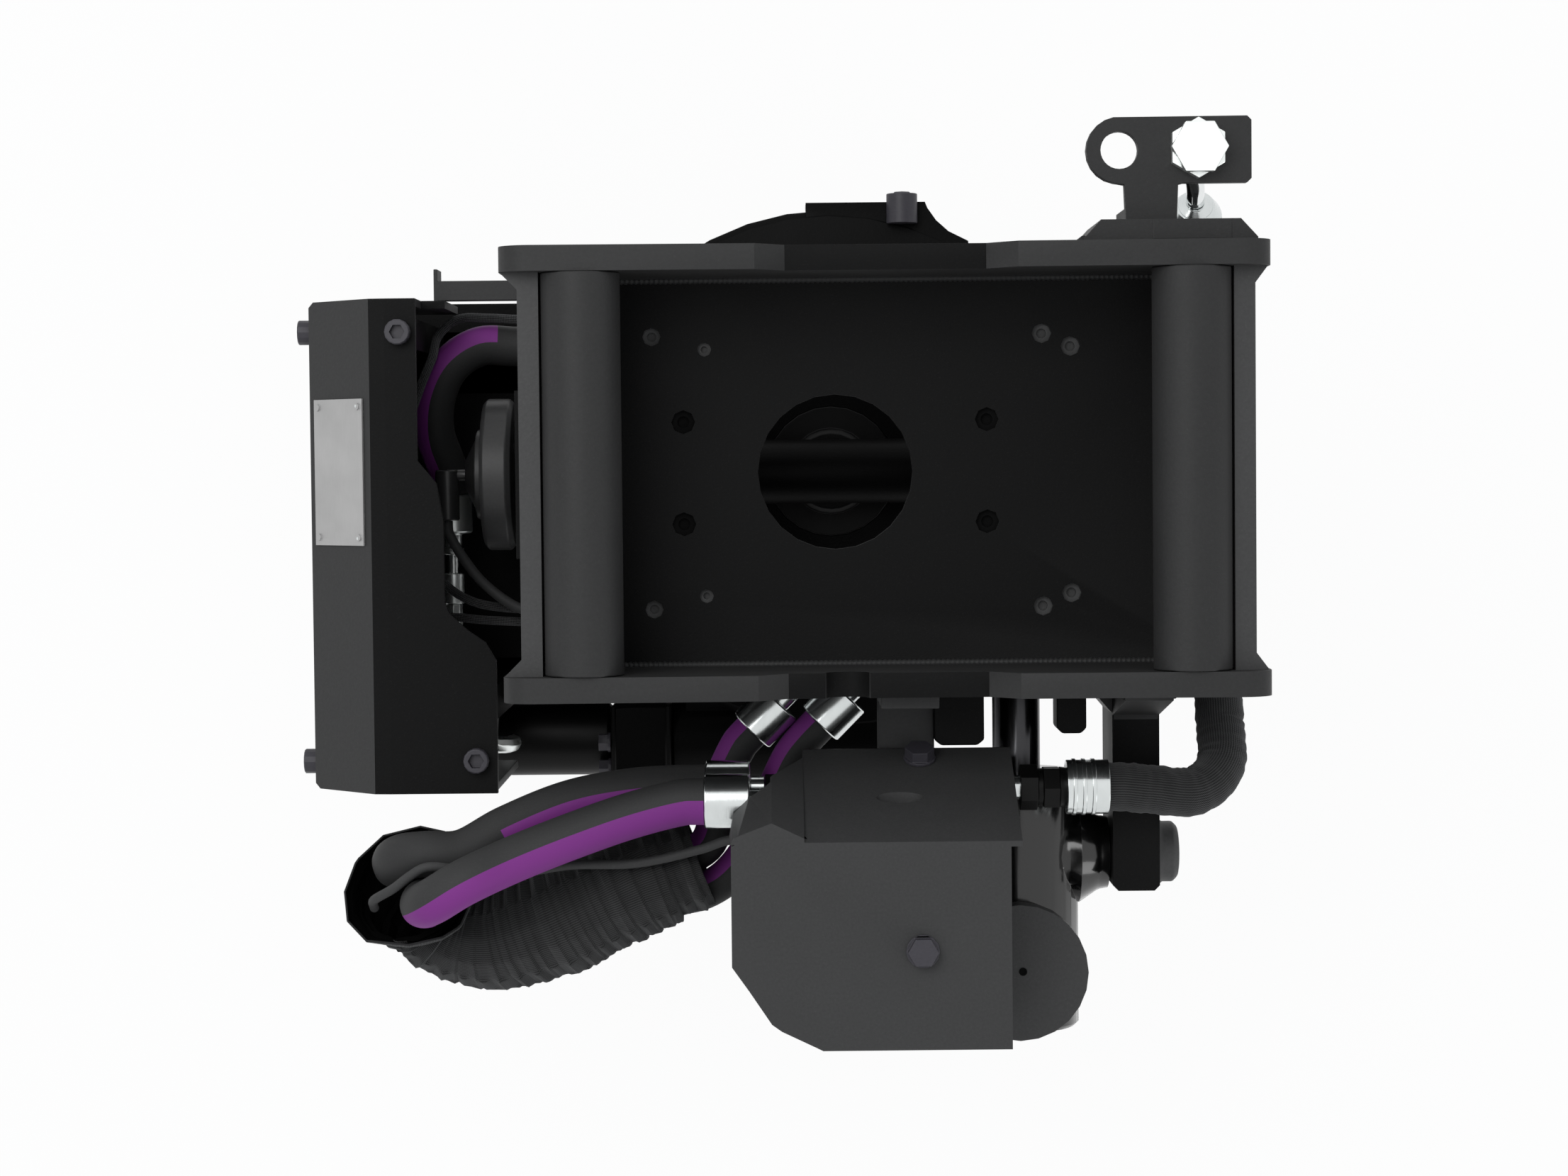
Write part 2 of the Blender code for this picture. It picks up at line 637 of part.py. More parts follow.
def fork_cheek(name, span):
    """One cheek of the fork that takes the tilt cylinder's rod eye."""
    outline = arc((ROD_PIN_Y, TRUNNION_Z), FORK_R, -10, 170, 10)
    outline += [(-CROWN_HALF_Y + 20, CASE_TOP - 3), (CROWN_HALF_Y, CASE_TOP - 3)]
    return prism(name, outline, "X", span)


def rotor_housing():
    """Cast housing: round gear case, crown with axle pedestals and fork, worm housing on the near side."""
    profile = [(0, CROWN_TOP - 20), (96, CROWN_TOP - 20), (110, CASE_TOP), (CASE_R - 5, CASE_TOP),
               (CASE_R, CASE_TOP - 5), (CASE_R, CASE_BOTTOM), (CAVITY_R, CASE_BOTTOM),
               (CAVITY_R, CAVITY_TOP),
               (0, CAVITY_TOP)]
    case = turned("rotor_housing", profile, (0, 0, 1), (0, 0, 0), PAINT, 40)
    crown = bevel(box("crown", (LEFT_PEDESTAL_X[0], -CROWN_HALF_Y, CASE_TOP - 8),
                      (RIGHT_PEDESTAL_X[1], CROWN_HALF_Y, CROWN_TOP)), 4)
    pad_outline = [(-18, 218), (79, 218), (81, 213), (88, 203), (98, 194), (114, 186)]
    pad_outline += arc((0.0, 0.0), (CASE_R + CAVITY_R) / 2, 55, 95, 5)
    pad = prism("plug_pad", pad_outline, "Z", (198, CASE_TOP - 1))
    join(case, crown, pad, pedestal("pedestal_left", LEFT_PEDESTAL_X),
         pedestal("pedestal_right", RIGHT_PEDESTAL_X))
    half = FORK_GAP / 2
    for side in (-1, 1):
        near = BARREL_X + side * half
        far = near + side * FORK_CHEEK_T
        join(case, fork_cheek("cheek_low" if side < 0 else "cheek_high", (min(near, far), max(near, far))))
    join(case, worm_housing())
    join(case, *guard_carriers())
    bore = cylinder("housing_axle_bore", AXLE_R + GAP, (LEFT_PEDESTAL_X[0] - 5, 0, AXLE_Z),
                    (RIGHT_PEDESTAL_X[1] + 5, 0, AXLE_Z), None, 24)
    worm_bore = cylinder("worm_bore", WORM_BORE_R, (MOTOR_BLOCK_X[1] - 2, WORM_Y, WORM_Z),
                         (WORM_RIGHT_X - 14, WORM_Y, WORM_Z), None, 20)
    swivel_bore = cylinder("swivel_bore", SWIVEL_R + GAP, (0, 0, CAVITY_TOP - 2), (0, 0, CROWN_TOP + 2),
                           None, 24)
    cut(case, bore, worm_bore, swivel_bore)
    return case


def worm_housing():
    """Tube along the near side that holds the worm, cut flat above the rotor's flange."""
    tube = cylinder("worm_tube", WORM_HOUSING_R, (MOTOR_BLOCK_X[1] + GAP, WORM_Y, WORM_Z),
                    (WORM_RIGHT_X, WORM_Y, WORM_Z), None, 24, 2)
    saddle = box("worm_saddle", (MOTOR_BLOCK_X[1] + 12, WORM_Y + 8, CASE_BOTTOM + 1),
                 (WORM_RIGHT_X - 12, -CASE_R + 60, WORM_Z + 30))
    join(tube, saddle)
    flat = box("worm_flat", (MOTOR_BLOCK_X[1] - 10, WORM_Y - 80, CASE_BOTTOM - 60),
               (WORM_RIGHT_X + 10, WORM_Y + 80, WORM_Z - WORM_BORE_R - 1.5))
    reach = cylinder("worm_reach", CAVITY_R, (0, 0, CASE_BOTTOM - 2), (0, 0, CAVITY_TOP), None, 40)
    cut(tube, flat, reach)
    return tube


def worm_drive():
    """Hydraulic motor, its flange block with two bolts, and the worm shaft with its end cover."""
    motor = cylinder("worm_motor", MOTOR_R, (MOTOR_LEFT_X, WORM_Y, WORM_Z),
                     (MOTOR_BLOCK_X[0] - GAP, WORM_Y, WORM_Z), GLOSS_BLACK, 28, 3)
    block = bevel(box("motor_flange", (MOTOR_BLOCK_X[0], WORM_Y - 33, WORM_Z - 20),
                      (MOTOR_BLOCK_X[1], WORM_Y + 33, WORM_Z + 50), PAINT), 4)
    cut(block, cylinder("flange_bore", JOURNAL_R + RUNNING, (MOTOR_BLOCK_X[0] + 12, WORM_Y, WORM_Z),
                        (MOTOR_BLOCK_X[1] + 4, WORM_Y, WORM_Z), None, 20))
    for index, (dy, dz) in enumerate(MOTOR_BOLTS):
        hex_bolt(f"motor_bolt_{index + 1}", (MOTOR_BLOCK_X[0], WORM_Y + dy, WORM_Z + dz), (-1, 0, 0),
                 M8_HEAD_AF)
    tip = 52.0
    profile = [(0, WORM_RIGHT_X - 15), (JOURNAL_R, WORM_RIGHT_X - 15), (JOURNAL_R, tip),
               (WORM_TIP_R - 4, tip),
               (WORM_TIP_R, tip - 6), (WORM_TIP_R, -tip + 6), (WORM_TIP_R - 4, -tip), (JOURNAL_R, -tip),
               (JOURNAL_R, MOTOR_BLOCK_X[0] + 13), (0, MOTOR_BLOCK_X[0] + 13)]
    turned("worm_shaft", profile, (1, 0, 0), (0, WORM_Y, WORM_Z), DARK_STEEL, 20)
    return motor


def ring_gear():
    """Toothed ring that the worm turns, on the rotor's hub."""
    outline = []
    pitch = 2 * math.pi / GEAR_TEETH
    for tooth in range(GEAR_TEETH):
        for share, radius in ((0.0, GEAR_ROOT_R), (0.25, GEAR_ROOT_R), (0.4, GEAR_TIP_R),
                              (0.75, GEAR_TIP_R)):
            angle = (tooth + share) * pitch
            outline.append((radius * math.cos(angle), radius * math.sin(angle)))
    gear = prism("ring_gear", outline, "Z", GEAR_Z, DARK_STEEL)
    cut(gear, cylinder("gear_bore", GEAR_BORE_R, (0, 0, GEAR_Z[0] - 3), (0, 0, GEAR_Z[1] + 3), None, 40))
    return gear


def swivel():
    """Oil swivel in the middle: it feeds the lower coupler and does not turn."""
    profile = [(0, CROWN_TOP + 12), (30, CROWN_TOP + 12), (34, CROWN_TOP + 8), (34, CROWN_TOP + GAP),
               (SWIVEL_R, CROWN_TOP + GAP), (SWIVEL_R, CAVITY_TOP - 40), (SWIVEL_R - 8, CAVITY_TOP - 40),
               (SWIVEL_R - 8, COUPLER_DECK_Z[1] + 8), (0, COUPLER_DECK_Z[1] + 8)]
    return turned("oil_swivel", profile, (0, 0, 1), (0, 0, 0), DARK_STEEL, 24)


def coupler_plate_outline():
    """Side plate of the lower coupler seen along Y, as (X, Z): open hook in front, jaw over the rear pin."""
    r = HOOK_PIN_R + 1.0
    hook = [(-258, 128), (-262, 96), (-250, HOOK_Z + r + 2), (HOOK_X, HOOK_Z + r)]
    hook += arc((HOOK_X, HOOK_Z), r, 75, -75, 8)
    hook += [(HOOK_X, HOOK_Z - r), (-242, HOOK_Z - r - 2), (-240, 6), (-225, 0), (20, 0), (44, 30)]
    jaw = [(118, 30), (142, 4), (176, 4), (JAW_X - r, 20)]
    jaw += arc((JAW_X, HOOK_Z), r, 180, 0, 10)
    jaw += [(JAW_X + r, 30), (JAW_X + r + 20, 26), (JAW_X + r + 24, 60), (JAW_X + r + 6, 112),
            (JAW_X - 10, 138)]
    return hook + jaw


def coupler_frame():
    """Lower coupler and rotor in one casting: side plates, deck, flange and hub."""
    inner = COUPLER_HALF - COUPLER_PLATE_T
    outline = [(z, x) for x, z in coupler_plate_outline()]
    frame = prism("coupler_frame", outline, "Y", (inner, COUPLER_HALF), PAINT)
    other = prism("coupler_plate_low", outline, "Y", (-COUPLER_HALF, -inner))
    deck = box("coupler_deck", (-190, -inner - 3, COUPLER_DECK_Z[0]), (196, inner + 3, COUPLER_DECK_Z[1]))
    top = ROTOR_FLANGE_Z[1]
    hub = turned("rotor_hub", [(GEAR_BORE_R - GAP, GEAR_Z[1]), (GEAR_BORE_R - GAP, GEAR_Z[0] - GAP),
                               (GEAR_BORE_R + 14, GEAR_Z[0] - GAP), (GEAR_BORE_R + 14, top),
                               (ROTOR_FLANGE_R, top), (ROTOR_FLANGE_R, COUPLER_DECK_Z[1] - 3),
                               (SWIVEL_R + RUNNING, COUPLER_DECK_Z[1] - 3), (SWIVEL_R + RUNNING, GEAR_Z[1])],
                 (0, 0, 1), (0, 0, 0), None, 40)
    front = box("front_beam", (HOOK_X + HOOK_PIN_R + 6, -inner - 3, 70),
                (-150, inner + 3, COUPLER_DECK_Z[1] - 2))
    belly = box("belly_plate", (BELLY_X[0], -inner - 3, 0), (BELLY_X[1], inner + 3, BELLY_T))
    rear = box("rear_beam", (118, -inner - 3, 0), (150, inner + 3, COUPLER_DECK_Z[1] - 2))
    join(frame, deck, other, hub, front, belly, rear)
    lock_bores = []
    for side in (-1, 1):
        y = side * LOCK_PIN_Y
        lock_bores.append(cylinder(f"lock_bore_{side}", LOCK_PIN_R + GAP, (110, y, LOCK_Z), (160, y, LOCK_Z),
                                   None, 20))
    oil = cylinder("oil_hole", 16, (0, 0, COUPLER_DECK_Z[0] - 3), (0, 0, COUPLER_DECK_Z[1] + 3), None, 20)
    cut(frame, oil, *lock_bores)
    return frame


def lock():
    """Two locking pins on one crosshead, pushed out under the rear pin by the lock cylinder."""
    inner = COUPLER_HALF - COUPLER_PLATE_T
    for side, name in ((-1, "lock_pin_near"), (1, "lock_pin_far")):
        profile = [(0, LOCK_REACH_X), (LOCK_PIN_R - 6, LOCK_REACH_X), (LOCK_PIN_R, LOCK_REACH_X - 8),
                   (LOCK_PIN_R, CROSSHEAD_X[1] + GAP), (0, CROSSHEAD_X[1] + GAP)]
        turned(name, profile, (1, 0, 0), (0, side * LOCK_PIN_Y, LOCK_Z), STEEL, 20)
    bevel(box("lock_crosshead", (CROSSHEAD_X[0], -inner + 6, LOCK_Z - LOCK_PIN_R),
              (CROSSHEAD_X[1], inner - 6, LOCK_CYLINDER_Z + 16), DARK_STEEL), 3)
    z = LOCK_CYLINDER_Z
    barrel = cylinder("lock_cylinder", LOCK_CYLINDER_R, (LOCK_CYLINDER_X[0], 0, z), (LOCK_CYLINDER_X[1], 0, z),
                      GLOSS_BLACK, 24, 2)
    join(barrel,
         box("lock_cylinder_foot", (LOCK_CYLINDER_X[0] + 6, -16, z + 8), (-20, 16, COUPLER_DECK_Z[0] - GAP)))
    back = LOCK_CYLINDER_X[0] + 12
    cut(barrel,
        cylinder("lock_cylinder_bore", LOCK_ROD_R + GAP, (back, 0, z), (LOCK_CYLINDER_X[1] + 4, 0, z), None,
                 20))
    cylinder("lock_rod", LOCK_ROD_R, (back + LOCK_STROKE + 4, 0, z), (CROSSHEAD_X[0] - GAP, 0, z), CHROME,
             20)


def tilt_barrel():
    """Barrel with its gland end, its pin boss and the round valve cap on the outer end."""
    inner, outer = BARREL_INNER_Y, BARREL_OUTER_Y
    z = TRUNNION_Z
    profile = [(0, -outer), (BARREL_R - 3, -outer), (BARREL_R, -outer - 3), (BARREL_R, -inner + 3),
               (BARREL_R - 3, -inner), (0, -inner)]
    body = turned("tilt_barrel", profile, (0, -1, 0), (BARREL_X, 0, z), GLOSS_BLACK, 32)
    side = BARREL_X + BARREL_R
    face = LUG_X[0] - 1.0
    boss = turned("trunnion_boss",
                  [(0, face), (27, face), (28, face - 6), (29, face - 8.5), (38, side), (34, side - 8),
                                    (34, BARREL_X + 14), (0, BARREL_X + 14)], (1, 0, 0), (0, TRUNNION_Y, z),
                                    None, 24)
    low = CAP_Z[0]
    cap_x = BARREL_X - 3
    cap = turned("cap_disc",
                 [(0, CAP_Z[1]), (CAP_R, CAP_Z[1]), (CAP_R, low), (30, low), (30, z + 20), (0, z + 20)],
                 (0, 0, 1), (cap_x, CAP_Y, 0), None, 24)
    join(body, boss, cap)
    hollow = cylinder("barrel_hollow", CAVITY_BORE_R, (BARREL_X, inner - GLAND_T, z),
                      (BARREL_X, outer + 16, z), None, 32)
    rod_hole = cylinder("rod_hole", ROD_R + 1.0, (BARREL_X, inner + 5, z),
                        (BARREL_X, inner - GLAND_T - 2, z), None, 24)
    pin_hole = cylinder("trunnion_bore", TRUNNION_R + GAP, (side + 2, TRUNNION_Y, z),
                        (face + 4, TRUNNION_Y, z), None, 24)
    cut(body, hollow, rod_hole, pin_hole)


def tilt_rod():
    """Piston rod with its piston and the eye between the fork's cheeks."""
    z = TRUNNION_Z
    eye_y = ROD_PIN_Y
    middle = (BARREL_INNER_Y - GLAND_T + BARREL_OUTER_Y + 16) / 2
    near, far = middle + PISTON_T / 2, middle - PISTON_T / 2
    root = eye_y - ROD_EYE_R + 6
    profile = [(0, root), (ROD_R, root), (ROD_R, near), (PISTON_R, near), (PISTON_R, far), (0, far)]
    rod = turned("tilt_rod", profile, (0, 1, 0), (BARREL_X, 0, z), CHROME, 24)
    half = ROD_EYE_W / 2
    eye = cylinder("rod_eye", ROD_EYE_R, (BARREL_X - half, eye_y, z), (BARREL_X + half, eye_y, z), None, 24)
    join(rod, eye)
    cut(rod, cylinder("rod_eye_bore", ROD_PIN_R + GAP, (BARREL_X - half - 4, eye_y, z),
                      (BARREL_X + half + 4, eye_y, z), None, 20))
    cylinder("rod_pin", ROD_PIN_R, (BARREL_X - half - 1.5, eye_y, z), (BARREL_X + half + 1.5, eye_y, z),
             STEEL, 20)


def trunnion_pin():
    """Pin through the lug into the barrel's boss, with a domed head outside."""
    x0 = BARREL_X + BARREL_R + 3
    head = LUG_X[1] + GAP
    profile = [(0, TRUNNION_HEAD_X), (TRUNNION_HEAD_R - 4, TRUNNION_HEAD_X),
               (TRUNNION_HEAD_R, TRUNNION_HEAD_X - 4),
               (TRUNNION_HEAD_R, head + 5), (TRUNNION_HEAD_R + 4, head), (TRUNNION_R, head),
               (TRUNNION_R, x0),
               (0, x0)]
    turned("trunnion_pin", profile, (1, 0, 0), (0, TRUNNION_Y, TRUNNION_Z), DARK_STEEL, 28)


def cover_outline():
    """Lid seen from above: straight inner side, chamfered outer left corner."""
    left, right = COVER_LEFT_X, COVER_RIGHT_X
    return [(left, COVER_INNER_TOP_Y - 3), (left, -349), (left + 12, -366), (left + 28, -390),
            (left + 35, -395),
            (left + 60, -407), (left + 64, COVER_OUTER_Y), (right, COVER_OUTER_Y),
            (right, COVER_INNER_TOP_Y),
            (left + 4, COVER_INNER_TOP_Y)]


def wall_y(z):
    """How far in the leaning wall of the cover reaches at a height."""
    share = (z - COVER_LOW_Z - WALL_FOOT) / (COVER_TOP - COVER_LOW_Z - WALL_FOOT)
    return COVER_INNER_LOW_Y + (COVER_INNER_TOP_Y - COVER_INNER_LOW_Y) * share


def cover_corner(name, inset, drop):
    """Faceted inner left corner of the cover, leaning out to a lower edge that rises over the hoses."""
    left, back = COVER_LEFT_X + inset, COVER_INNER_TOP_Y - (8 if inset else 1)
    right = CORNER_RIGHT_X + inset
    low_z = CORNER_LOW_Z - drop
    edge_z = CORNER_LOW_Z - 55.0
    low = [(left - 2, back, low_z), (left + 1, -246.0 - inset * 0.5, low_z),
           (left + 13, -234.0 - inset * 0.7, low_z),
           (-49.0 + inset * 0.3, -220.0 - inset * 0.7, low_z - 14.0),
           (right, wall_y(edge_z) - inset, edge_z - drop),
           (right, back, edge_z - drop)]
    top_z = COVER_TOP - (COVER_T if inset else 0.0)
    top = [(left, back, top_z), (left + 1, back + 4 - inset * 0.5, top_z),
           (left + 5, back + 6 - inset * 0.7, top_z),
           (-49.0 + inset * 0.3, -247.0 - inset * 0.7, top_z),
           (right, wall_y(top_z) + 3 - inset * 0.8, top_z),
           (right, back, top_z)]
    return loft(name, low, top)


def valve_cover():
    """Folded cover: flat lid, leaning inner wall and faceted corner, hollow from below."""
    t = COVER_T
    outer = prism("valve_cover", cover_outline(), "Z", (COVER_LOW_Z, COVER_TOP), PAINT)
    foot_z = COVER_LOW_Z + WALL_FOOT
    wall = [(COVER_INNER_TOP_Y - 4, COVER_LOW_Z), (COVER_INNER_LOW_Y, COVER_LOW_Z),
            (COVER_INNER_LOW_Y, foot_z),
            (COVER_INNER_TOP_Y, COVER_TOP), (COVER_INNER_TOP_Y - 4, COVER_TOP)]
    wedge = prism("cover_wedge", wall, "X", (CORNER_RIGHT_X, WALL_RIGHT_X))
    join(outer, wedge, cover_corner("cover_corner", 0.0, 0.0))
    left, right = COVER_LEFT_X, COVER_RIGHT_X
    hollow_outline = [(left + t, COVER_INNER_TOP_Y - t), (left + t, -347), (left + 42, -398 + t),
                      (left + 66, COVER_OUTER_Y + t), (right - t, COVER_OUTER_Y + t),
                      (right - t, COVER_INNER_TOP_Y - t)]
    hollow = prism("cover_hollow", hollow_outline, "Z", (COVER_LOW_Z - 5, COVER_TOP - t))
    back = COVER_INNER_TOP_Y - 8
    wedge_hollow_outline = [(back, COVER_LOW_Z - 5), (COVER_INNER_LOW_Y - t, COVER_LOW_Z - 5),
                            (COVER_INNER_LOW_Y - t, foot_z - 2), (COVER_INNER_TOP_Y - t, COVER_TOP - 8 - t),
                            (back, COVER_TOP - 8 - t)]
    wedge_hollow = prism("wedge_hollow", wedge_hollow_outline, "X", (CORNER_RIGHT_X + t, WALL_RIGHT_X - t))
    cut(outer, hollow, wedge_hollow, cover_corner("corner_hollow", 5.0, 45.0))
    slot = cylinder("cover_slot", 17.0, (43.5, -290, 545), (43.5, -200, 545), None, 20)
    slot.scale = (1.0, 0.4, 1.0)
    window = box("cover_window", (89, COVER_OUTER_Y - 10, COVER_LOW_Z - 5),
                 (right + 20, COVER_INNER_TOP_Y - 1, 530))
    barrel_window = box("cover_barrel_window", (84, COVER_INNER_TOP_Y - 3, COVER_LOW_Z - 6),
                        (WALL_RIGHT_X + 2, COVER_INNER_LOW_Y - 12, 492))
    left_window = box("cover_left_window", (left - 10, -300, COVER_LOW_Z - 5), (left + 8, -256, 545))
    pipe = cylinder("cover_pipe_hole", RIGHT_NECK_R + 1.5, (WALL_RIGHT_X - 12, RIGHT_PORT_Y, RIGHT_PORT_Z),
                    (WALL_RIGHT_X + 5, RIGHT_PORT_Y, RIGHT_PORT_Z), None, 16)
    reach = NECK_R + 1.5
    ear_pass = box("ear_pass", (PORT_X[0] - 2, COVER_INNER_TOP_Y, COVER_LOW_Z - 5),
                   (PORT_X[1] + 1, FRONT_PORT_Y + reach, FRONT_PORT_Z + reach))
    corner_pass = box("corner_pass", (left + t, back, COVER_LOW_Z - 5),
                      (CORNER_RIGHT_X + t, COVER_INNER_TOP_Y + 3, CORNER_LOW_Z - 40))
    hose_end = cylinder("cover_hose_clearance", FERRULE_R + 1.5,
                        (FERRULE_X[1] - 12, FRONT_PORT_Y, FRONT_PORT_Z),
                        (FERRULE_X[0] + 15, FRONT_PORT_Y, FRONT_PORT_Z), None, 22)
    cut(outer, slot, window, barrel_window, left_window, pipe, corner_pass, ear_pass, hose_end)


def valve_block():
    """Aluminium valve block under the cover, with its port ears and the posts for the cover's bolts."""
    block = bevel(box("valve_block", (BLOCK_X[0], BLOCK_Y[0], BLOCK_Z[0]),
                      (BLOCK_X[1], BLOCK_Y[1], BLOCK_Z[1]),
                      ALUMINIUM), 3)
    root = BLOCK_Y[1] - 16
    reach = NECK_R + 0.5
    ears = [box("ear_front", (PORT_X[0], root, BLOCK_Z[0] + 4),
                (PORT_X[1], FRONT_PORT_Y + reach, FRONT_PORT_Z + reach)),
            box("ear_back", (PORT_X[0], root, BACK_PORT_Z - reach),
                (PORT_X[1], BACK_PORT_Y + reach, BACK_PORT_Z + reach)),
            box("ear_right", (BLOCK_X[1] - 24, root, RIGHT_PORT_Z - reach),
                (RIGHT_EAR_END_X, RIGHT_PORT_Y + reach - 1.2, RIGHT_PORT_Z + reach))]
    top_post = cylinder("post_top", POST_R, (TOP_BOLT[0], TOP_BOLT[1], BLOCK_Z[1] - 6),
                        (TOP_BOLT[0], TOP_BOLT[1], COVER_TOP - COVER_T - GAP), None, 16)
    outer_post = cylinder("post_outer", POST_R, (OUTER_BOLT[0], BLOCK_Y[0] + 6, OUTER_BOLT[1]),
                          (OUTER_BOLT[0], COVER_OUTER_Y + COVER_T + GAP, OUTER_BOLT[1]), None, 16)
    join(block, *ears, top_post, outer_post)


def valve_bracket():
    """Bent bracket that carries block and cover on the near side plate."""
    low = BLOCK_Z[0] - GAP
    plate_y = -ADAPTER_HALF - GAP
    bar = box("valve_bracket", (30, BLOCK_Y[0] + 8, low - 12.7), (72, plate_y, low), PAINT)
    join(bar, box("bracket_foot", (30, plate_y - 10, low - 10), (72, plate_y, 560)))


def cover_bolts():
    """Bolts of the cover: on the lid, on the leaning wall and on the outer wall."""
    hex_bolt("cover_bolt_top", (TOP_BOLT[0], TOP_BOLT[1], COVER_TOP), (0, 0, 1))
    hex_bolt("cover_bolt_outer", (OUTER_BOLT[0], COVER_OUTER_Y, OUTER_BOLT[1]), (0, -1, 0))
    foot_z = COVER_LOW_Z + WALL_FOOT
    normal = Vector((0, COVER_TOP - foot_z, COVER_INNER_LOW_Y - COVER_INNER_TOP_Y)).normalized()
    spot_z = foot_z + 0.12 * (COVER_TOP - foot_z)
    hex_bolt("cover_bolt_inner", (60.0, wall_y(spot_z), spot_z), normal)


def guard():
    """Folded guard around the worm motor: sloping left face, flat top, flanges on three sides."""
    top, slope_z = GUARD_TOP, GUARD_TOP - GUARD_SLOPE
    t = GUARD_T
    section = [(GUARD_LEFT_X, GUARD_FOOT_Z), (GUARD_LEFT_X, slope_z), (GUARD_FOLD_X - 6, top - 1.5),
               (GUARD_FOLD_X + 6, top), (-254, top), (-254, top - t), (GUARD_FOLD_X + 6, top - t),
               (GUARD_FOLD_X - 2, top - t - 1.5), (GUARD_LEFT_X + t, slope_z - 3),
               (GUARD_LEFT_X + t, GUARD_FOOT_Z)]
    sheet = prism("guard", [(z, x) for x, z in section], "Y", (GUARD_LOW_Y, GUARD_TOP_Y), PAINT)
    for name, y0, y1, foot, right in (("guard_wall_far", GUARD_TOP_Y - t, GUARD_TOP_Y, 330.0, -293),
                                      ("guard_wall_near", GUARD_LOW_Y, GUARD_LOW_Y + t, GUARD_FOOT_Z, -256)):
        wall = [(GUARD_LEFT_X + 1, foot), (GUARD_LEFT_X + 1, slope_z - 1), (GUARD_FOLD_X - 4, top - 3),
                (right, top - 2), (right, foot)]
        join(sheet, prism(name, [(z, x) for x, z in wall], "Y", (y0, y1)))
    edge = GUARD_EDGE_X
    opening_outline = [(-240, 150), (edge, 150), (edge, 11), (-297, -6), (-292, -34), (-292, -94),
                       (-289, -103),
                       (-275, -116), (-262, -125), (-254.5, -138), (-240, -138)]
    opening = prism("guard_opening", opening_outline, "Z", (top - 40, top + 10))
    left = GUARD_LEFT_X
    chamfer_far = prism("guard_chamfer_far", [(left - 10, 118), (left + 14, 142), (left - 10, 142)], "Z",
                        (200, top + 10))
    chamfer_near = prism("guard_chamfer_near", [(left - 10, -224), (left + 14, -248), (left - 10, -248)],
                         "Z",
                         (200, top + 10))
    cut(sheet, opening, chamfer_far, chamfer_near)


def guard_screws():
    """Two screws down into the posts and two into the sloping side."""
    for index, (x, y) in enumerate(GUARD_SCREWS):
        socket_screw(f"guard_screw_top_{index + 1}", (x, y, GUARD_TOP), (0, 0, 1))
    for index, y in enumerate((110.0, -218.7)):
        socket_screw(f"guard_screw_side_{index + 1}", (GUARD_LEFT_X, y, 396.0), (-1, 0, 0))


def type_plate():
    """Bare metal plate on the guard's sloping face, with a rivet at each corner."""
    low = Vector((GUARD_LEFT_X, 0, GUARD_TOP - GUARD_SLOPE))
    high = Vector((GUARD_FOLD_X - 6, 0, GUARD_TOP - 1.5))
    along = (high - low).normalized()
    out = Vector((-along.z, 0, along.x))
    middle = (low + high) / 2 + out * GAP
    corners = [middle - along * 29, middle + along * 29, middle + along * 29 + out * 1.5,
               middle - along * 29 + out * 1.5]
    plate = prism("type_plate", [(c.z, c.x) for c in corners], "Y", (-52, 58), PLATE_GREY)
    for step in (-24, 24):
        for y in (-46, 52):
            foot = middle + along * step + out + Vector((0, y, 0))
            join(plate, cylinder("rivet", 2.6, foot, foot + out * 1.8, None, 10))


def guard_carriers():
    """Arms and posts cast on the gear case, under the guard's top screws."""
    low, high = CASE_BOTTOM + 4, CASE_TOP - 4
    top = GUARD_TOP - GUARD_T - GAP
    far, near = GUARD_SCREWS
    pieces = [box("arm_far", (-336, 66, low), (-186, 116, high)),
              box("post_far", (-333, 95, high - 5), (-314, 118, top)),
              box("arm_near", (-290, -186, low), (-122, -150, high)),
              box("post_near", (-281, -186, high - 5), (-258, -160, top)),
              box("flange_near", (near[0] - 12, near[1] - 12, top - 10), (near[0] + 11, -162, top))]
    for name, y0, y1 in (("cable_plate_far", 80, 134), ("cable_plate_near", -124, -92)):
        pieces.append(box(name, (CABLE_PLATE_X - 3, y0, high - 8), (CABLE_PLATE_X + 3, y1, 368)))
    for name, y, z, radius in CABLE_SEATS:
        pieces.append(cylinder(name, radius, (CABLE_PLATE_X - 3 - seat_length(radius), y, z),
                               (CABLE_PLATE_X, y, z),
                               None, 16))
    return pieces


def seat_length(radius):
    """A hose seat stands out further than a cable seat."""
    return 12.0 if radius > 10 else 6.0


def guide_bracket():
    """Small bent bracket outside the guard's far wall."""
    y = GUARD_TOP_Y + GAP
    strip = box("guide_bracket", (-304, y, 372), (-301, y + 25, 400), PAINT)
    join(strip, box("guide_beam", (-301.5, y + 1, 385), (-240, y + 16, 400)))


def axle_bushes():
    """Bushes pressed into the adapter's ears."""
    for name, span in (("axle_bush_left", LEFT_EAR_X), ("axle_bush_right", RIGHT_EAR_X)):
        ring = [(BUSH_R, span[1]), (BUSH_R, span[0]), (AXLE_R + GAP, span[0]), (AXLE_R + GAP, span[1])]
        turned(name, ring, (1, 0, 0), (0, 0, AXLE_Z), STEEL, 28)


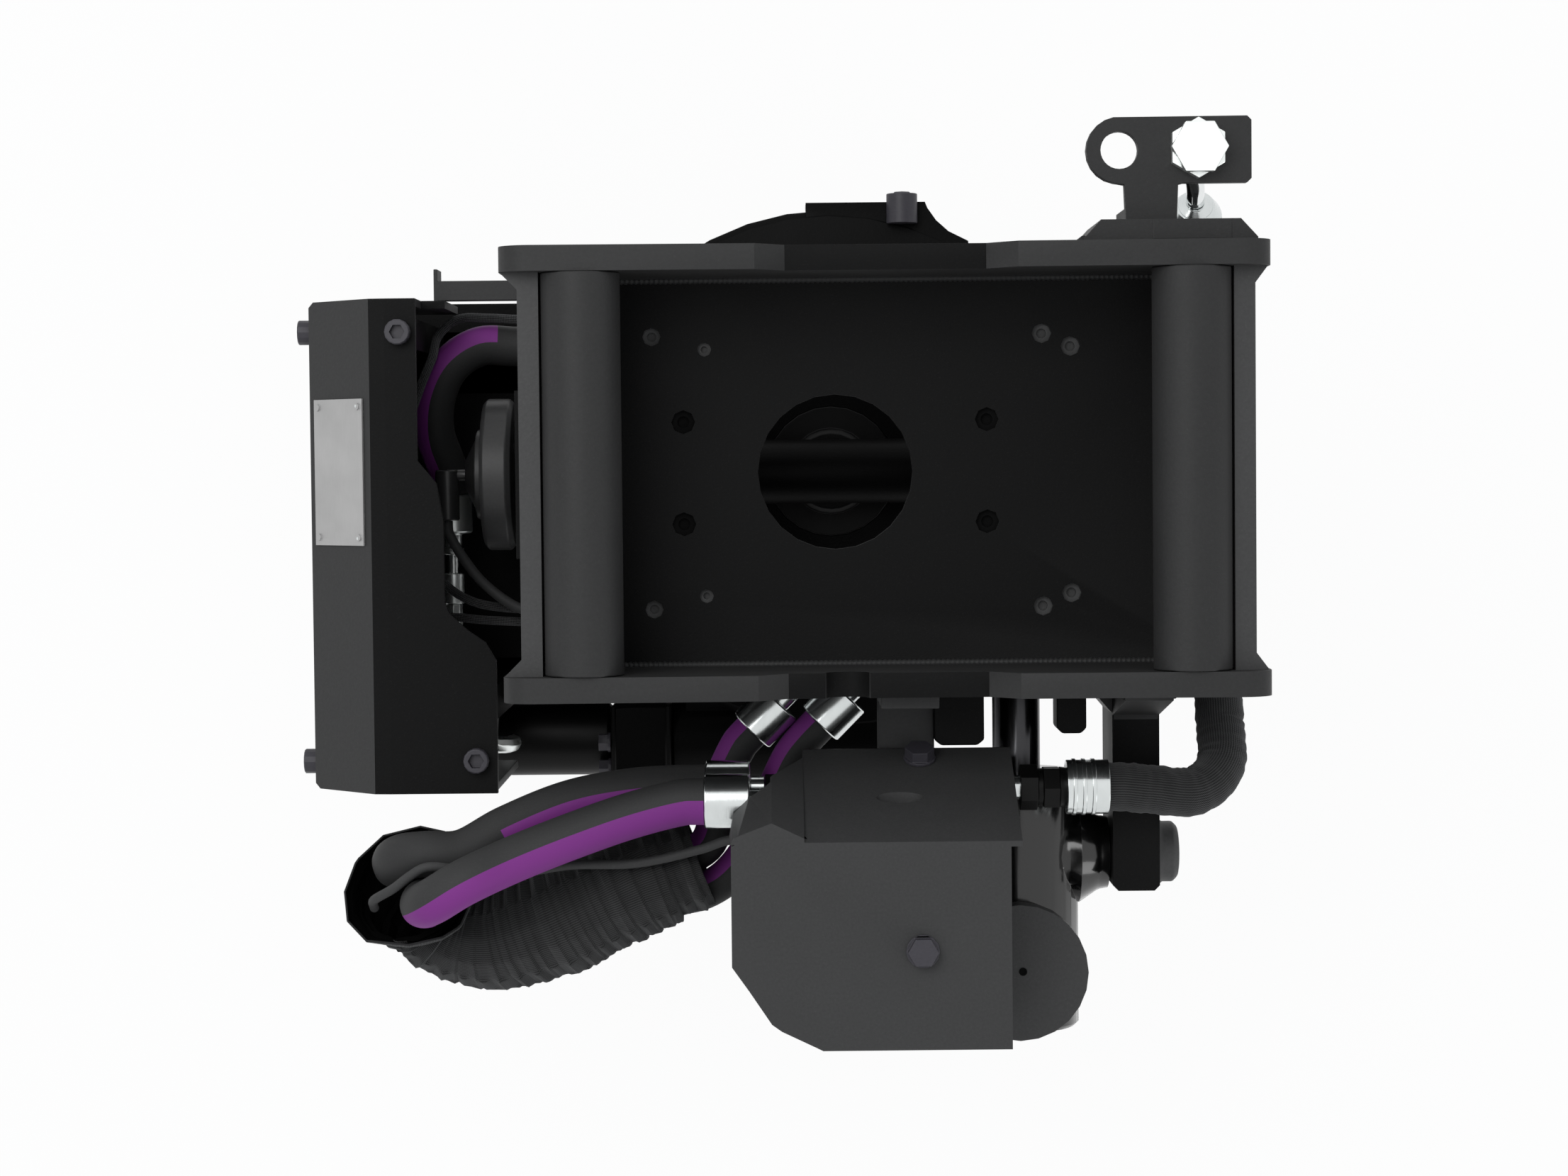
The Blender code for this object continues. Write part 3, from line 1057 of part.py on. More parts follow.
def port_fittings():
    """Crimped hose ends with their necks, on the valve block's ears."""
    for name, y, z in (("fitting_front", FRONT_PORT_Y, FRONT_PORT_Z),
                       ("fitting_back", BACK_PORT_Y, BACK_PORT_Z)):
        neck = PORT_X[0] - GAP
        back, front = FERRULE_X
        profile = [(0, neck), (NECK_R, neck), (NECK_R, back), (FERRULE_R - 1, back), (FERRULE_R, back - 1),
                   (FERRULE_R, front + 1), (FERRULE_R - 1, front), (0, front)]
        turned(name, profile, (1, 0, 0), (0, y, z), STEEL, 22)
    end = RIGHT_FERRULE_X[1]
    start = RIGHT_FERRULE_X[0]
    profile = [(0, end), (FERRULE_R - 1, end), (FERRULE_R, end - 1), (FERRULE_R, start + 1),
               (FERRULE_R - 1, start),
               (12, start), (12, WALL_RIGHT_X + 2), (RIGHT_NECK_R, WALL_RIGHT_X + 2),
               (RIGHT_NECK_R, RIGHT_EAR_END_X + GAP), (0, RIGHT_EAR_END_X + GAP)]
    right = turned("fitting_right", profile, (1, 0, 0), (0, RIGHT_PORT_Y, RIGHT_PORT_Z), STEEL, 22)
    join(right, turned("right_hexagon", [(0, 160), (16, 160), (16, 131), (0, 131)], (1, 0, 0),
                       (0, RIGHT_PORT_Y - 14, RIGHT_PORT_Z + 16), None, 6))


def under_manifold():
    """Block under the deck with the two slanting hose ends of the loop."""
    block = box("loop_manifold", (-52, -ADAPTER_HALF + 2, 433), (40, -100, PLATE_BOTTOM - GAP), DARK_STEEL)
    radius = LOOP_FERRULE_R
    profile = [(0, 56), (8, 56), (8, 30), (radius - 1, 30), (radius, 29), (radius, 1), (radius - 1, 0),
               (0, 0)]
    for index, mouth in enumerate(LOOP_MOUTHS):
        join(block, turned(f"loop_ferrule_{index}", profile, (1, 1, 0), mouth, None, 20))


def loop_hoses():
    """Two hoses that swing out from the valve block into a fabric sleeve and back under the block."""
    start = FERRULE_X[1] - GAP
    hose("loop_hose_front", [(start, FRONT_PORT_Y, FRONT_PORT_Z), (start - 12, FRONT_PORT_Y, FRONT_PORT_Z),
                             (-147.6, -247.4, 527), (-194.8, -262.8, 531), (-241.4, -280.2, 540),
                             (-273.6, -294.1, 552), (-293, -306, 547), (-303, -312, 530),
                             (-305.5, -313.4, 503), (-306, -318.3, 491)], HOSE_R, RUBBER, 3)
    hose("loop_hose_back", [(start, BACK_PORT_Y, BACK_PORT_Z), (start - 12, BACK_PORT_Y, BACK_PORT_Z),
                            (-149.4, -234.6, 486), (-197.3, -242.4, 492), (-244.5, -260, 503),
                            (-277.6, -276.5, 512), (-303, -277, 514), (-320, -279.5, 506),
                            (-328.5, -284.8, 492), (-329, -289.7, 480)], HOSE_R, RUBBER, 3)
    hose("loop_sleeve", [(-320, -303, 484, 1.12), (-321, -312, 462, 1.02), (-312, -330, 446, 0.95),
                         (-290, -346, 440, 0.95), (-262, -352, 439, 0.98), (-221.6, -345, 440, 1.02),
                         (-178.7, -327.3, 441, 1.02), (-143.7, -313, 443, 0.94), (-117, -305, 445, 0.79)],
         SLEEVE_R, TEXTILE, 2, 3)
    inner, outer = LOOP_MOUTHS
    hose("loop_hose_inner",
         [(-120.4, -290.8, 445.1), (-111, -288, 445.8), (-98, -279, 446.5), (-91, -260, 447),
                             (-88, -237, 448), (inner[0] - 8, inner[1] - 8, inner[2]),
                             (inner[0] - GAP, inner[1] - GAP, inner[2])], LOOP_TAIL_R, RUBBER, 3)
    hose("loop_hose_outer",
         [(-112, -318.6, 445.1), (-102.5, -315.8, 445.8), (-84, -305, 445), (-64, -280, 444),
                             (-50, -247, 445), (-34, -213, 448), (outer[0] - 8, outer[1] - 8, outer[2]),
                             (outer[0] - GAP, outer[1] - GAP, outer[2])], LOOP_TAIL_R, RUBBER, 3)
    side = BLOCK_X[0] - GAP
    hose("loop_cable", [(side, -270, 515), (side - 9, -270, 515), (-80, -269, 513), (-101.8, -276.8, 503),
                        (-149, -287, 500), (-199, -288, 500), (-240, -293, 508), (-262, -289.5, 522),
                        (-277, -286, 533), (-300, -283.5, 538), (-312, -290, 535), (-325, -300, 528),
                        (-341, -310, 515), (-343.5, -314.5, 504), (-344, -319.1, 493)], CABLE_R, RUBBER, 2)


def right_hose():
    """Hose in a textile sleeve, from the valve block around the adapter's end to the coupling."""
    start = RIGHT_FERRULE_X[1] + GAP
    end = BRACKET_TOP - COUPLING_TAIL - GAP
    hose("right_hose",
         [(start, RIGHT_PORT_Y, RIGHT_PORT_Z), (start + 10, RIGHT_PORT_Y, RIGHT_PORT_Z), (230, -236, 500),
                        (263, -238, 495), (284, -222, 480), (287, -190, 458), (286, -150, 446),
                        (284, -90, 440),
                        (283, 0, 437), (281, 90, 440), (276, 150, 445), (267, 195, 460), (259, 222, 488),
                        (COUPLING_X, BRACKET_Y, end - 12), (COUPLING_X, BRACKET_Y, end)], RIGHT_HOSE_R,
                        TEXTILE, 3)


def from_seat(name):
    """First two points of a line that leaves one of the seats on the gear case."""
    for seat, y, z, radius in CABLE_SEATS:
        if seat == name:
            x = CABLE_PLATE_X - 3 - seat_length(radius) - GAP
            return [(x, y, z), (x - 9, y, z)]
    raise KeyError(name)


def left_lines():
    """Motor hose with its end, the steel pipe to the motor, the angle sensor and three cables."""
    x, z = -300.5, 317.0
    hose("motor_hose",
         from_seat("seat_hose") + [(-221, 99.2, 343.5), (-247, 99.9, 345), (-274.1, 100.1, 348),
                                                 (-296.3, 86.4, 350), (-309.3, 61.7, 345), (-311.8, 34, 335),
                                                 (-304.9, 8.8, 321), (x, -5, z), (x, -15, z)], MOTOR_HOSE_R,
                                                 RUBBER, 3)
    profile = [(0, 15.3), (15, 15.3), (15.5, 17), (15.5, 45), (14, 46), (7, 47), (7, 58), (8.4, 58),
               (8.4, 63),
               (4, 63), (4, 78), (8.4, 78), (8.4, 102), (0, 102)]
    turned("motor_hose_end", profile[::-1], (0, -1, 0), (x, 0, z), STEEL, 16)
    motor_top = WORM_Z + MOTOR_R + GAP
    hose("motor_pipe",
         [(x, -102.3, z), (x, -112, z), (-301, -138, 311), (-300, -170, 299), (-294, -200, 282),
                        (-280, -217, 268), (-266, -220, 259), (-262, WORM_Y, motor_top + 9),
                        (-262, WORM_Y, motor_top)], PIPE_R, STEEL, 2)
    sensor = cylinder("angle_sensor", 9.3, (-301, 4, AXLE_Z), (-301, -35.5, AXLE_Z), GLOSS_BLACK, 20, 1)
    join(sensor, cylinder("sensor_stem", 4.5, (-301, 0, AXLE_Z), (AXLE_LEFT_X - GAP, 0, AXLE_Z), None, 16))
    hose("sensor_cable", [(-301, -35.9, AXLE_Z), (-301, -43, AXLE_Z), (-297, -52, 351), (-288.4, -65.5, 355),
                          (-275.4, -82, 358), (-257.6, -97, 360), (-242.8, -105, 360), (-215, -108, 358)]
         + from_seat("seat_sensor")[::-1], 4.0, RUBBER, 2)
    hose("braided_cable_long", from_seat("seat_far_cable") + [
        (-215, 120.8, 356), (-242.8, 120.6, 355), (-267.7, 121.9, 355), (-291, 121.2, 352), (-306, 108, 356),
        (-309, 92, 368), (-318, 70, 370), (-329, 39.6, 362), (-331, 14.5, 352), (-326, -10.5, 346),
        (-325, -40, 345), (-319, -66, 345), (-304.6, -85.6, 345), (-282, -99.8, 344), (-244.3, -105.7, 343),
        (-215, -106, 342)] + from_seat("seat_near_cable")[::-1], CABLE_R, TEXTILE, 2)
    motor_end = MOTOR_LEFT_X - GAP
    hose("braided_cable_short", from_seat("seat_motor_cable") + [
        (-215, -116.5, 332), (-244.8, -115.9, 338), (-277.6, -113.9, 340), (-301.5, -112, 337),
        (-318, -118, 325),
        (-324, -140, 300), (-320, -175, 262), (-316, -203, 230), (-302, -218, 210),
        (motor_end - 9, WORM_Y, WORM_Z),
        (motor_end, WORM_Y, WORM_Z)], CABLE_R, TEXTILE, 2)


def build():
    adapter_frame()
    adapter_pins()
    hose_bracket()
    bulkhead_coupling()
    tilt_axle()
    axle_lock_plate()
    axle_bushes()
    rotor_housing()
    worm_drive()
    ring_gear()
    swivel()
    coupler_frame()
    lock()
    tilt_barrel()
    tilt_rod()
    trunnion_pin()
    valve_cover()
    valve_block()
    valve_bracket()
    cover_bolts()
    guard()
    guard_screws()
    type_plate()
    guide_bracket()
    port_fittings()
    under_manifold()
    loop_hoses()
    right_hose()
    left_lines()


build()
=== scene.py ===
# %% [markdown]
# Tiltrotator, seen from above
#
# A tiltrotator sits between an excavator's arm and its tools. The adapter on top takes the machine's
# coupler between two pins. Below it the housing tilts on an axle and turns the lower coupler.
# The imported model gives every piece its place. This script gives each piece its finish and fine form.

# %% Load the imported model
import json
import math
import random

import bmesh
import bpy
from mathutils import Matrix, Vector

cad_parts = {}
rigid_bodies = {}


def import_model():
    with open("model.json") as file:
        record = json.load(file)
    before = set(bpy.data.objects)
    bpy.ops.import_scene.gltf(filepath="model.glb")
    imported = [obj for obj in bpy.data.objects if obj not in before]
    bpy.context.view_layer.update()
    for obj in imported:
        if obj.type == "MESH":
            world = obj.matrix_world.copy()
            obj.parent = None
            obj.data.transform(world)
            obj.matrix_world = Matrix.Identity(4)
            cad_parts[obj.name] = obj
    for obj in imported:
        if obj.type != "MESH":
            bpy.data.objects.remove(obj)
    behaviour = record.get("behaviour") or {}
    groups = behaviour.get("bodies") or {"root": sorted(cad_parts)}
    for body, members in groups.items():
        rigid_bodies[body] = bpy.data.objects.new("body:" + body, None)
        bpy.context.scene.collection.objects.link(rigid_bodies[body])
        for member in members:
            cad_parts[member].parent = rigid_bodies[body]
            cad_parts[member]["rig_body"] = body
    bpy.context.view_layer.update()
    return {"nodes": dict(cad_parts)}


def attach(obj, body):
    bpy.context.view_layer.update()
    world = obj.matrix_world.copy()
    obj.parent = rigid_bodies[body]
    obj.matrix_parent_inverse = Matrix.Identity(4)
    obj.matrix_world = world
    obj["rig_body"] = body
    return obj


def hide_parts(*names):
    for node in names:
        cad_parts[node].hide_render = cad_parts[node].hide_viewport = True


MM = 0.001

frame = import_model()
nodes = frame["nodes"]


# %% [markdown]
# The camera
#
# The picture was taken from almost straight above, about 2.8 m up, with a long lens.
# The lens could be guessed, but the sizes of the adapter's pins and of the levels below them
# fix both height and lens: what lies lower looks smaller. So the numbers below come from those levels.

# %% Camera
PHOTO_W, PHOTO_H = 2212, 1659
FOCAL_PIXELS = 4400.0
camera_data = bpy.data.cameras.new("camera_above")
camera_data.sensor_width = 36.0
camera_data.lens = FOCAL_PIXELS * camera_data.sensor_width / PHOTO_W
camera_data.clip_end = 20.0
camera = bpy.data.objects.new("camera_above", camera_data)
camera.matrix_world = (
    Matrix.Translation((-0.0386, 0.0062, 2.790))
    @ Matrix.Rotation(math.radians(-2.28), 4, "X")
    @ Matrix.Rotation(math.radians(-0.57), 4, "Z")
)
bpy.context.scene.collection.objects.link(camera)
bpy.context.scene.camera = camera
print("lens", round(camera_data.lens, 1), "mm")


# %% [markdown]
# Small tools for node trees
#
# Materials are built from nodes in code. A helper adds a node, sets or joins its inputs and puts it to
# the right of what feeds it. Others give the nodes used most, and one makes a group with named sockets.

# %% Node helpers
def srgb(value):
    """Linear value of a grey that reads as this number, 0 to 255, on screen."""
    share = value / 255
    return share / 12.92 if share <= 0.04045 else ((share + 0.055) / 1.055) ** 2.4


def opaque(value):
    """Grey colour from one linear value."""
    return (value, value, value, 1)


def add_node(tree, kind, **settings):
    """in_3=, or in_Offset_Scale=, sets an input or joins it to a socket; the rest are properties."""
    made = tree.nodes.new(kind)
    column = 0
    for key, value in settings.items():
        if not key.startswith("in_"):
            setattr(made, key, value)
            continue
        label = key[3:]
        socket = made.inputs[int(label) if label.isdigit() else label.replace("_", " ")]
        if isinstance(value, bpy.types.NodeSocket):
            tree.links.new(value, socket)
            column = max(column, value.node.location.x + 220)
        else:
            socket.default_value = value
    row = sum(1 for other in tree.nodes if other != made and other.location.x == column)
    made.location = (column, -250 * row)
    return made


def calculate(tree, operation, *values, clamp=False):
    """A Math node between sockets or plain numbers; returns its output."""
    inputs = {"in_%d" % index: value for index, value in enumerate(values)}
    return add_node(tree, "ShaderNodeMath", operation=operation, use_clamp=clamp, **inputs).outputs[0]


def new_group(name, inputs, outputs, kind="ShaderNodeTree"):
    """A group with named sockets; returns it and what it is given. Each input is (name, kind, default)."""
    tree = bpy.data.node_groups.new(name, kind)
    for label, form, default in inputs:
        socket = tree.interface.new_socket(label, in_out="INPUT", socket_type="NodeSocket" + form)
        if default is not None:
            socket.default_value = default
    for label, form in outputs:
        tree.interface.new_socket(label, in_out="OUTPUT", socket_type="NodeSocket" + form)
    return tree, add_node(tree, "NodeGroupInput").outputs


def bare_tree(owner):
    """The emptied node tree of a material or a world."""
    owner.use_nodes = True
    owner.node_tree.nodes.clear()
    return owner.node_tree


print("a screen grey of 62 is", round(srgb(62), 4))

# %% Nodes used most
def sine_of(tree, turns):
    return calculate(tree, "SINE", calculate(tree, "MULTIPLY", turns, 2 * math.pi))


def noise(tree, place, scale, detail, roughness):
    return add_node(tree, "ShaderNodeTexNoise", in_Vector=place, in_Scale=scale, in_Detail=detail,
                    in_Roughness=roughness).outputs[0]


def step_up(tree, value, low, high):
    """From 0 at the low value to 1 at the high one."""
    return add_node(tree, "ShaderNodeMapRange", in_0=value, in_1=low, in_2=high, in_3=0.0, in_4=1.0).outputs[0]


def toned(tree, colour, tone):
    return add_node(tree, "ShaderNodeVectorMath", operation="SCALE", in_0=colour, in_Scale=tone).outputs[0]


def blend(tree, share, first, second):
    return add_node(tree, "ShaderNodeMix", data_type="RGBA", in_0=share, in_6=first, in_7=second).outputs[2]


print("noise, steps, tone and blend have a helper each")


# %% [markdown]
# Painted grain
#
# Powder paint on welded steel has a fine orange-peel skin, and its tone drifts a little over a plate.
# An image could hold that, but noise in object space needs no file and has a real size in metres.
# One group serves all paints: each material gives it a colour, a grain size and how dusty it is.

# %% Group for painted grain
def painted_grain_group():
    tree, given = new_group(
        "painted_grain",
        [("Place", "Vector", None), ("Colour", "Color", (0.05, 0.05, 0.05, 1)),
         ("Dust", "Color", (0.12, 0.12, 0.12, 1)), ("Dust share", "Float", 0.1),
         ("Grain per metre", "Float", 420.0), ("Roughness", "Float", 0.5)],
        [("Colour", "Color"), ("Roughness", "Float"), ("Height", "Float")])
    fine = noise(tree, given["Place"], given["Grain per metre"], 2.0, 0.55)
    broad = noise(tree, given["Place"], 9.0, 4.0, 0.6)
    specks = noise(tree, given["Place"], 900.0, 1.0, 0.5)
    drift = calculate(tree, "SUBTRACT", broad, 0.5)
    grain = calculate(tree, "SUBTRACT", fine, 0.5)
    tone = calculate(tree, "MULTIPLY_ADD", drift, 0.35, 1.0)
    tone = calculate(tree, "ADD", tone, calculate(tree, "MULTIPLY", grain, 0.35))
    dusty = calculate(tree, "MULTIPLY", step_up(tree, specks, 0.66, 0.74), given["Dust share"], clamp=True)
    colour = blend(tree, dusty, toned(tree, given["Colour"], tone), given["Dust"])
    rough = calculate(tree, "MULTIPLY_ADD", drift, 0.25, given["Roughness"])
    add_node(tree, "NodeGroupOutput", in_Colour=colour, in_Roughness=rough, in_Height=fine)
    return tree


PAINTED_GRAIN = painted_grain_group()
print("group", PAINTED_GRAIN.name, "with", len(PAINTED_GRAIN.nodes), "nodes")


# %% [markdown]
# Woven threads
#
# Cable braid and the fabric sleeves are threads that cross at an angle.
# The pattern has to follow the tube, so it reads the UV map: u runs around and v runs along in metres.
# Two sine waves that cross give the height, and their product tells thread from gap.

# %% Group for woven threads
def woven_threads_group():
    tree, given = new_group(
        "woven_threads",
        [("UV", "Vector", None), ("Around", "Float", 16.0), ("Along per metre", "Float", 300.0),
         ("Slant", "Float", 1.0), ("Thread", "Color", (0.12, 0.12, 0.12, 1)),
         ("Gap", "Color", (0.004, 0.004, 0.004, 1))],
        [("Colour", "Color"), ("Height", "Float")])
    u, v, _ = add_node(tree, "ShaderNodeSeparateXYZ", in_0=given["UV"]).outputs
    turns = calculate(tree, "MULTIPLY", u, given["Around"])
    steps = calculate(tree, "MULTIPLY", v, given["Along per metre"])
    left = calculate(tree, "ADD", steps, calculate(tree, "MULTIPLY", turns, given["Slant"]))
    right = calculate(tree, "SUBTRACT", steps, turns)
    waves = [sine_of(tree, value) for value in (left, right)]
    height = calculate(tree, "MULTIPLY_ADD", calculate(tree, "MULTIPLY", *waves), 0.5, 0.5)
    colour = blend(tree, step_up(tree, height, 0.4, 0.62), given["Gap"], given["Thread"])
    add_node(tree, "NodeGroupOutput", in_Colour=colour, in_Height=height)
    return tree


WOVEN_THREADS = woven_threads_group()
print("group", WOVEN_THREADS.name, "with", len(WOVEN_THREADS.nodes), "nodes")


# %% [markdown]
# Worked metal
#
# Turned and plated pieces have fine tool marks and a tone that drifts where the plating is thinner.
# The marks could be cut into the mesh, but they are far finer than a face.
# Stretched noise in object space gives them, and it changes roughness more than colour.

# %% Group for worked metal
def worked_metal_group():
    tree, given = new_group(
        "worked_metal",
        [("Place", "Vector", None), ("Colour", "Color", (0.6, 0.6, 0.6, 1)), ("Roughness", "Float", 0.2),
         ("Marks per metre", "Float", 700.0)],
        [("Colour", "Color"), ("Roughness", "Float"), ("Height", "Float")])
    stretched = add_node(tree, "ShaderNodeMapping", in_0=given["Place"], in_3=(1.0, 0.08, 0.3)).outputs[0]
    marks = noise(tree, stretched, given["Marks per metre"], 3.0, 0.6)
    drift = calculate(tree, "SUBTRACT", noise(tree, given["Place"], 30.0, 3.0, 0.5), 0.5)
    colour = toned(tree, given["Colour"], calculate(tree, "MULTIPLY_ADD", drift, 0.3, 1.0))
    rough = calculate(tree, "MULTIPLY_ADD", marks, 0.16, given["Roughness"])
    add_node(tree, "NodeGroupOutput", in_Colour=colour, in_Roughness=rough, in_Height=marks)
    return tree


WORKED_METAL = worked_metal_group()
print("group", WORKED_METAL.name, "with", len(WORKED_METAL.nodes), "nodes")


# %% [markdown]
# The finishes
#
# Each finish of the real object is one material: its own Principled shader with constants typed on its
# sockets, and one of the groups above for what changes over the surface.
# The paints are matt greys close to black. A low specular keeps the flat decks deep.

# %% Paints and metals
def start_material(name, **constants):
    material = bpy.data.materials.new(name)
    tree = bare_tree(material)
    shader = add_node(tree, "ShaderNodeBsdfPrincipled", **constants)
    add_node(tree, "ShaderNodeOutputMaterial", in_0=shader.outputs[0])
    return material, tree, shader, add_node(tree, "ShaderNodeTexCoord").outputs


def feed_shader(tree, shader, used, depth, colour=None):
    """Joins what a group gives to the shader; its height becomes bump of a real depth in metres."""
    bump = add_node(tree, "ShaderNodeBump", in_Strength=1.0, in_Distance=depth, in_Height=used["Height"])
    tree.links.new(bump.outputs[0], shader.inputs["Normal"])
    tree.links.new(colour or used["Colour"], shader.inputs["Base Color"])
    if "Roughness" in used:
        tree.links.new(used["Roughness"], shader.inputs["Roughness"])


def use_group(tree, group, source, **values):
    return add_node(tree, "ShaderNodeGroup", node_tree=group, in_0=source, **values).outputs


def paint(name, grey, roughness, specular, grain=420.0, depth=0.00012, dust=0.2, tint=(1, 1, 1), coat=0.0):
    material, tree, shader, place = start_material(
        name, in_Specular_IOR_Level=specular, in_Coat_Weight=coat, in_Coat_Roughness=0.12)
    value = srgb(grey)
    used = use_group(tree, PAINTED_GRAIN, place["Object"], in_Colour=(*(value * share for share in tint), 1),
                     in_Dust=opaque(value * 2.2), in_Dust_share=dust, in_Grain_per_metre=grain,
                     in_Roughness=roughness)
    feed_shader(tree, shader, used, depth)
    return material


def metal(name, colour, roughness, marks=700.0, depth=0.00003):
    material, tree, shader, place = start_material(name, in_Metallic=1.0)
    used = use_group(tree, WORKED_METAL, place["Object"], in_Colour=(*colour, 1), in_Roughness=roughness,
                     in_Marks_per_metre=marks)
    feed_shader(tree, shader, used, depth)
    return material


ADAPTER_GREY = paint("adapter_grey", 45, 0.55, 0.22)
BAR_GREY = paint("bar_grey", 62, 0.5, 0.25)
# A darker copy of the adapter paint, with more dust specks: painted shade for faces that look dark under this
# light.
ADAPTER_SHADE_PAINT = paint("adapter_painted_shade", 19, 0.5, 0.06, grain=520.0, dust=0.6)
COVER_GREY = paint("cover_grey", 58, 0.6, 0.22, grain=480.0, depth=0.00016)
HOUSING_BLACK = paint("housing_black", 9, 0.45, 0.05)
MOTOR_BLACK = paint("motor_black", 8, 0.42, 0.14, depth=0.00004, dust=0.1)
# Near black where hollows read dark: painted shade in the cover's slot, in four deck holes and in the cap's
# dimple.
HOLLOW_SHADE_BLACK = paint("hollow_shade_black", 10, 0.6, 0.04)
GUARD_GREY = paint("guard_grey", 51, 0.55, 0.22)
GLOSS_BLACK = paint("cylinder_gloss", 12, 0.16, 0.45, depth=0.00002, dust=0.0, coat=0.4)
AXLE_GREY = paint("axle_disc_grey", 56, 0.42, 0.3, depth=0.00005, dust=0.1)
SENSOR_BLACK = paint("sensor_shell", 44, 0.35, 0.4, depth=0.00003, dust=0.0)
BOLT_ZINC = paint("bolt_coating", 60, 0.45, 0.3, depth=0.00003, dust=0.1, tint=(0.95, 0.9, 1.08))
WHITE_ZINC = metal("white_zinc", (0.86, 0.89, 0.88), 0.3)
BRIGHT_ZINC = metal("bright_zinc", (0.66, 0.69, 0.69), 0.12)
CHROME = metal("chrome_plate", (0.80, 0.82, 0.82), 0.04, depth=0.00001)
DARK_METAL = metal("dark_machined", (0.10, 0.10, 0.105), 0.34)
ROD_METAL = metal("rod_dark_chrome", (0.05, 0.05, 0.053), 0.16, depth=0.00001)
GEAR_STEEL = metal("gear_steel", (0.33, 0.33, 0.32), 0.3)
PLATE_METAL = metal("plate_satin", (0.43, 0.43, 0.43), 0.5, marks=1200.0)
print("made", len(bpy.data.materials), "materials so far")


# %% Rubber with its stripe
def rubber(name, grey, stripe=None, spans=()):
    """Matt rubber. Each span is (middle, half width, from, to): parts of a turn, then metres along."""
    material, tree, shader, place = start_material(name, in_Specular_IOR_Level=0.22)
    value = srgb(grey)
    used = use_group(tree, PAINTED_GRAIN, place["Object"], in_Colour=opaque(value), in_Dust=opaque(value * 1.6),
                     in_Dust_share=0.25, in_Grain_per_metre=900.0, in_Roughness=0.62)
    colour = used["Colour"]
    if spans:
        u, v, _ = add_node(tree, "ShaderNodeSeparateXYZ", in_0=place["UV"]).outputs
    for middle, half, first, last in spans:
        turned = calculate(tree, "FRACT", calculate(tree, "ADD", u, 0.5 - middle))
        away = calculate(tree, "ABSOLUTE", calculate(tree, "SUBTRACT", turned, 0.5))
        across = calculate(tree, "LESS_THAN", away, half)
        after = calculate(tree, "GREATER_THAN", v, first)
        before = calculate(tree, "LESS_THAN", v, last)
        mask = calculate(tree, "MULTIPLY", across, calculate(tree, "MULTIPLY", after, before))
        colour = blend(tree, mask, colour, (*stripe, 1))
    feed_shader(tree, shader, used, 0.00008, colour)
    return material


PURPLE = (srgb(126), srgb(52), srgb(134))
RUBBER_FRONT = rubber("rubber_front", 54, PURPLE, [(0.0, 0.125, 0.0, 1.0)])
RUBBER_BACK = rubber("rubber_back", 50, PURPLE, [(0.0, 0.085, 0.0, 0.158)])
RUBBER_TAIL = rubber("rubber_tail", 46, PURPLE, [(0.0, 0.09, 0.0, 1.0)])
RUBBER_MOTOR = rubber("rubber_motor", 44, PURPLE, [(0.0, 0.105, 0.071, 1.0), (0.42, 0.08, 0.06, 1.0)])
RUBBER_CABLE = rubber("rubber_cable", 62)
print("stripe colour", [round(c, 3) for c in PURPLE])


# %% Woven finishes
def woven(name, around, along, slant, thread, gap, depth):
    material, tree, shader, place = start_material(
        name, in_Specular_IOR_Level=0.12, in_Roughness=0.85, in_Sheen_Weight=0.15, in_Sheen_Roughness=0.5)
    used = use_group(tree, WOVEN_THREADS, place["UV"], in_Around=around, in_Along_per_metre=along,
                     in_Slant=slant, in_Thread=opaque(srgb(thread)), in_Gap=opaque(srgb(gap)))
    faded = noise(tree, place["Object"], 60.0, 3.0, 0.6)
    tone = calculate(tree, "MULTIPLY_ADD", faded, 0.7, 0.65)
    feed_shader(tree, shader, used, depth, toned(tree, used["Colour"], tone))
    return material


BRAID = woven("cable_braid", 8.0, 520.0, 1.0, 96, 8, 0.0004)
SLEEVE_WEAVE = woven("sleeve_weave", 150.0, 640.0, 0.0, 62, 20, 0.0003)
HOSE_WEAVE = woven("hose_weave", 60.0, 520.0, 0.0, 66, 20, 0.0003)
# Near black for the inside of the sleeve: painted shade in its open mouth.
SLEEVE_INSIDE_SHADE = paint("sleeve_lining", 10, 0.9, 0.02, depth=0.0002, dust=0.0)
print("materials", len(bpy.data.materials))


# %% [markdown]
# Pieces and bodies
#
# Every new piece is a mesh whose object sits at the origin. It rides on the body that its CAD node rides on,
# and the node is hidden, so one call can do all of that for each piece.


# %% Piece helpers
def mesh_object(name, mesh):
    made = bpy.data.objects.new(name, mesh)
    bpy.context.scene.collection.objects.link(made)
    return made


def settle(obj, body, stands_for=()):
    """Puts a finished piece on its body and hides the CAD nodes it stands for."""
    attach(obj, body)
    if stands_for:
        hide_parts(*stands_for)
    return obj


def smooth_by_angle(mesh, degrees=32.0):
    mesh.shade_smooth()
    mesh.set_sharp_from_angle(angle=math.radians(degrees))


def mesh_from(work, name, materials):
    """Ends a bmesh as a mesh with its materials."""
    mesh = bpy.data.meshes.new(name)
    work.to_mesh(mesh)
    work.free()
    for material in materials:
        mesh.materials.append(material)
    return mesh


def bevelled(obj, width, degrees):
    bevel = obj.modifiers.new("edge", "BEVEL")
    bevel.width = width
    bevel.segments = 2
    bevel.limit_method = "ANGLE"
    bevel.angle_limit = math.radians(degrees)
    bevel.use_clamp_overlap = True
    bevel.harden_normals = True
    return obj


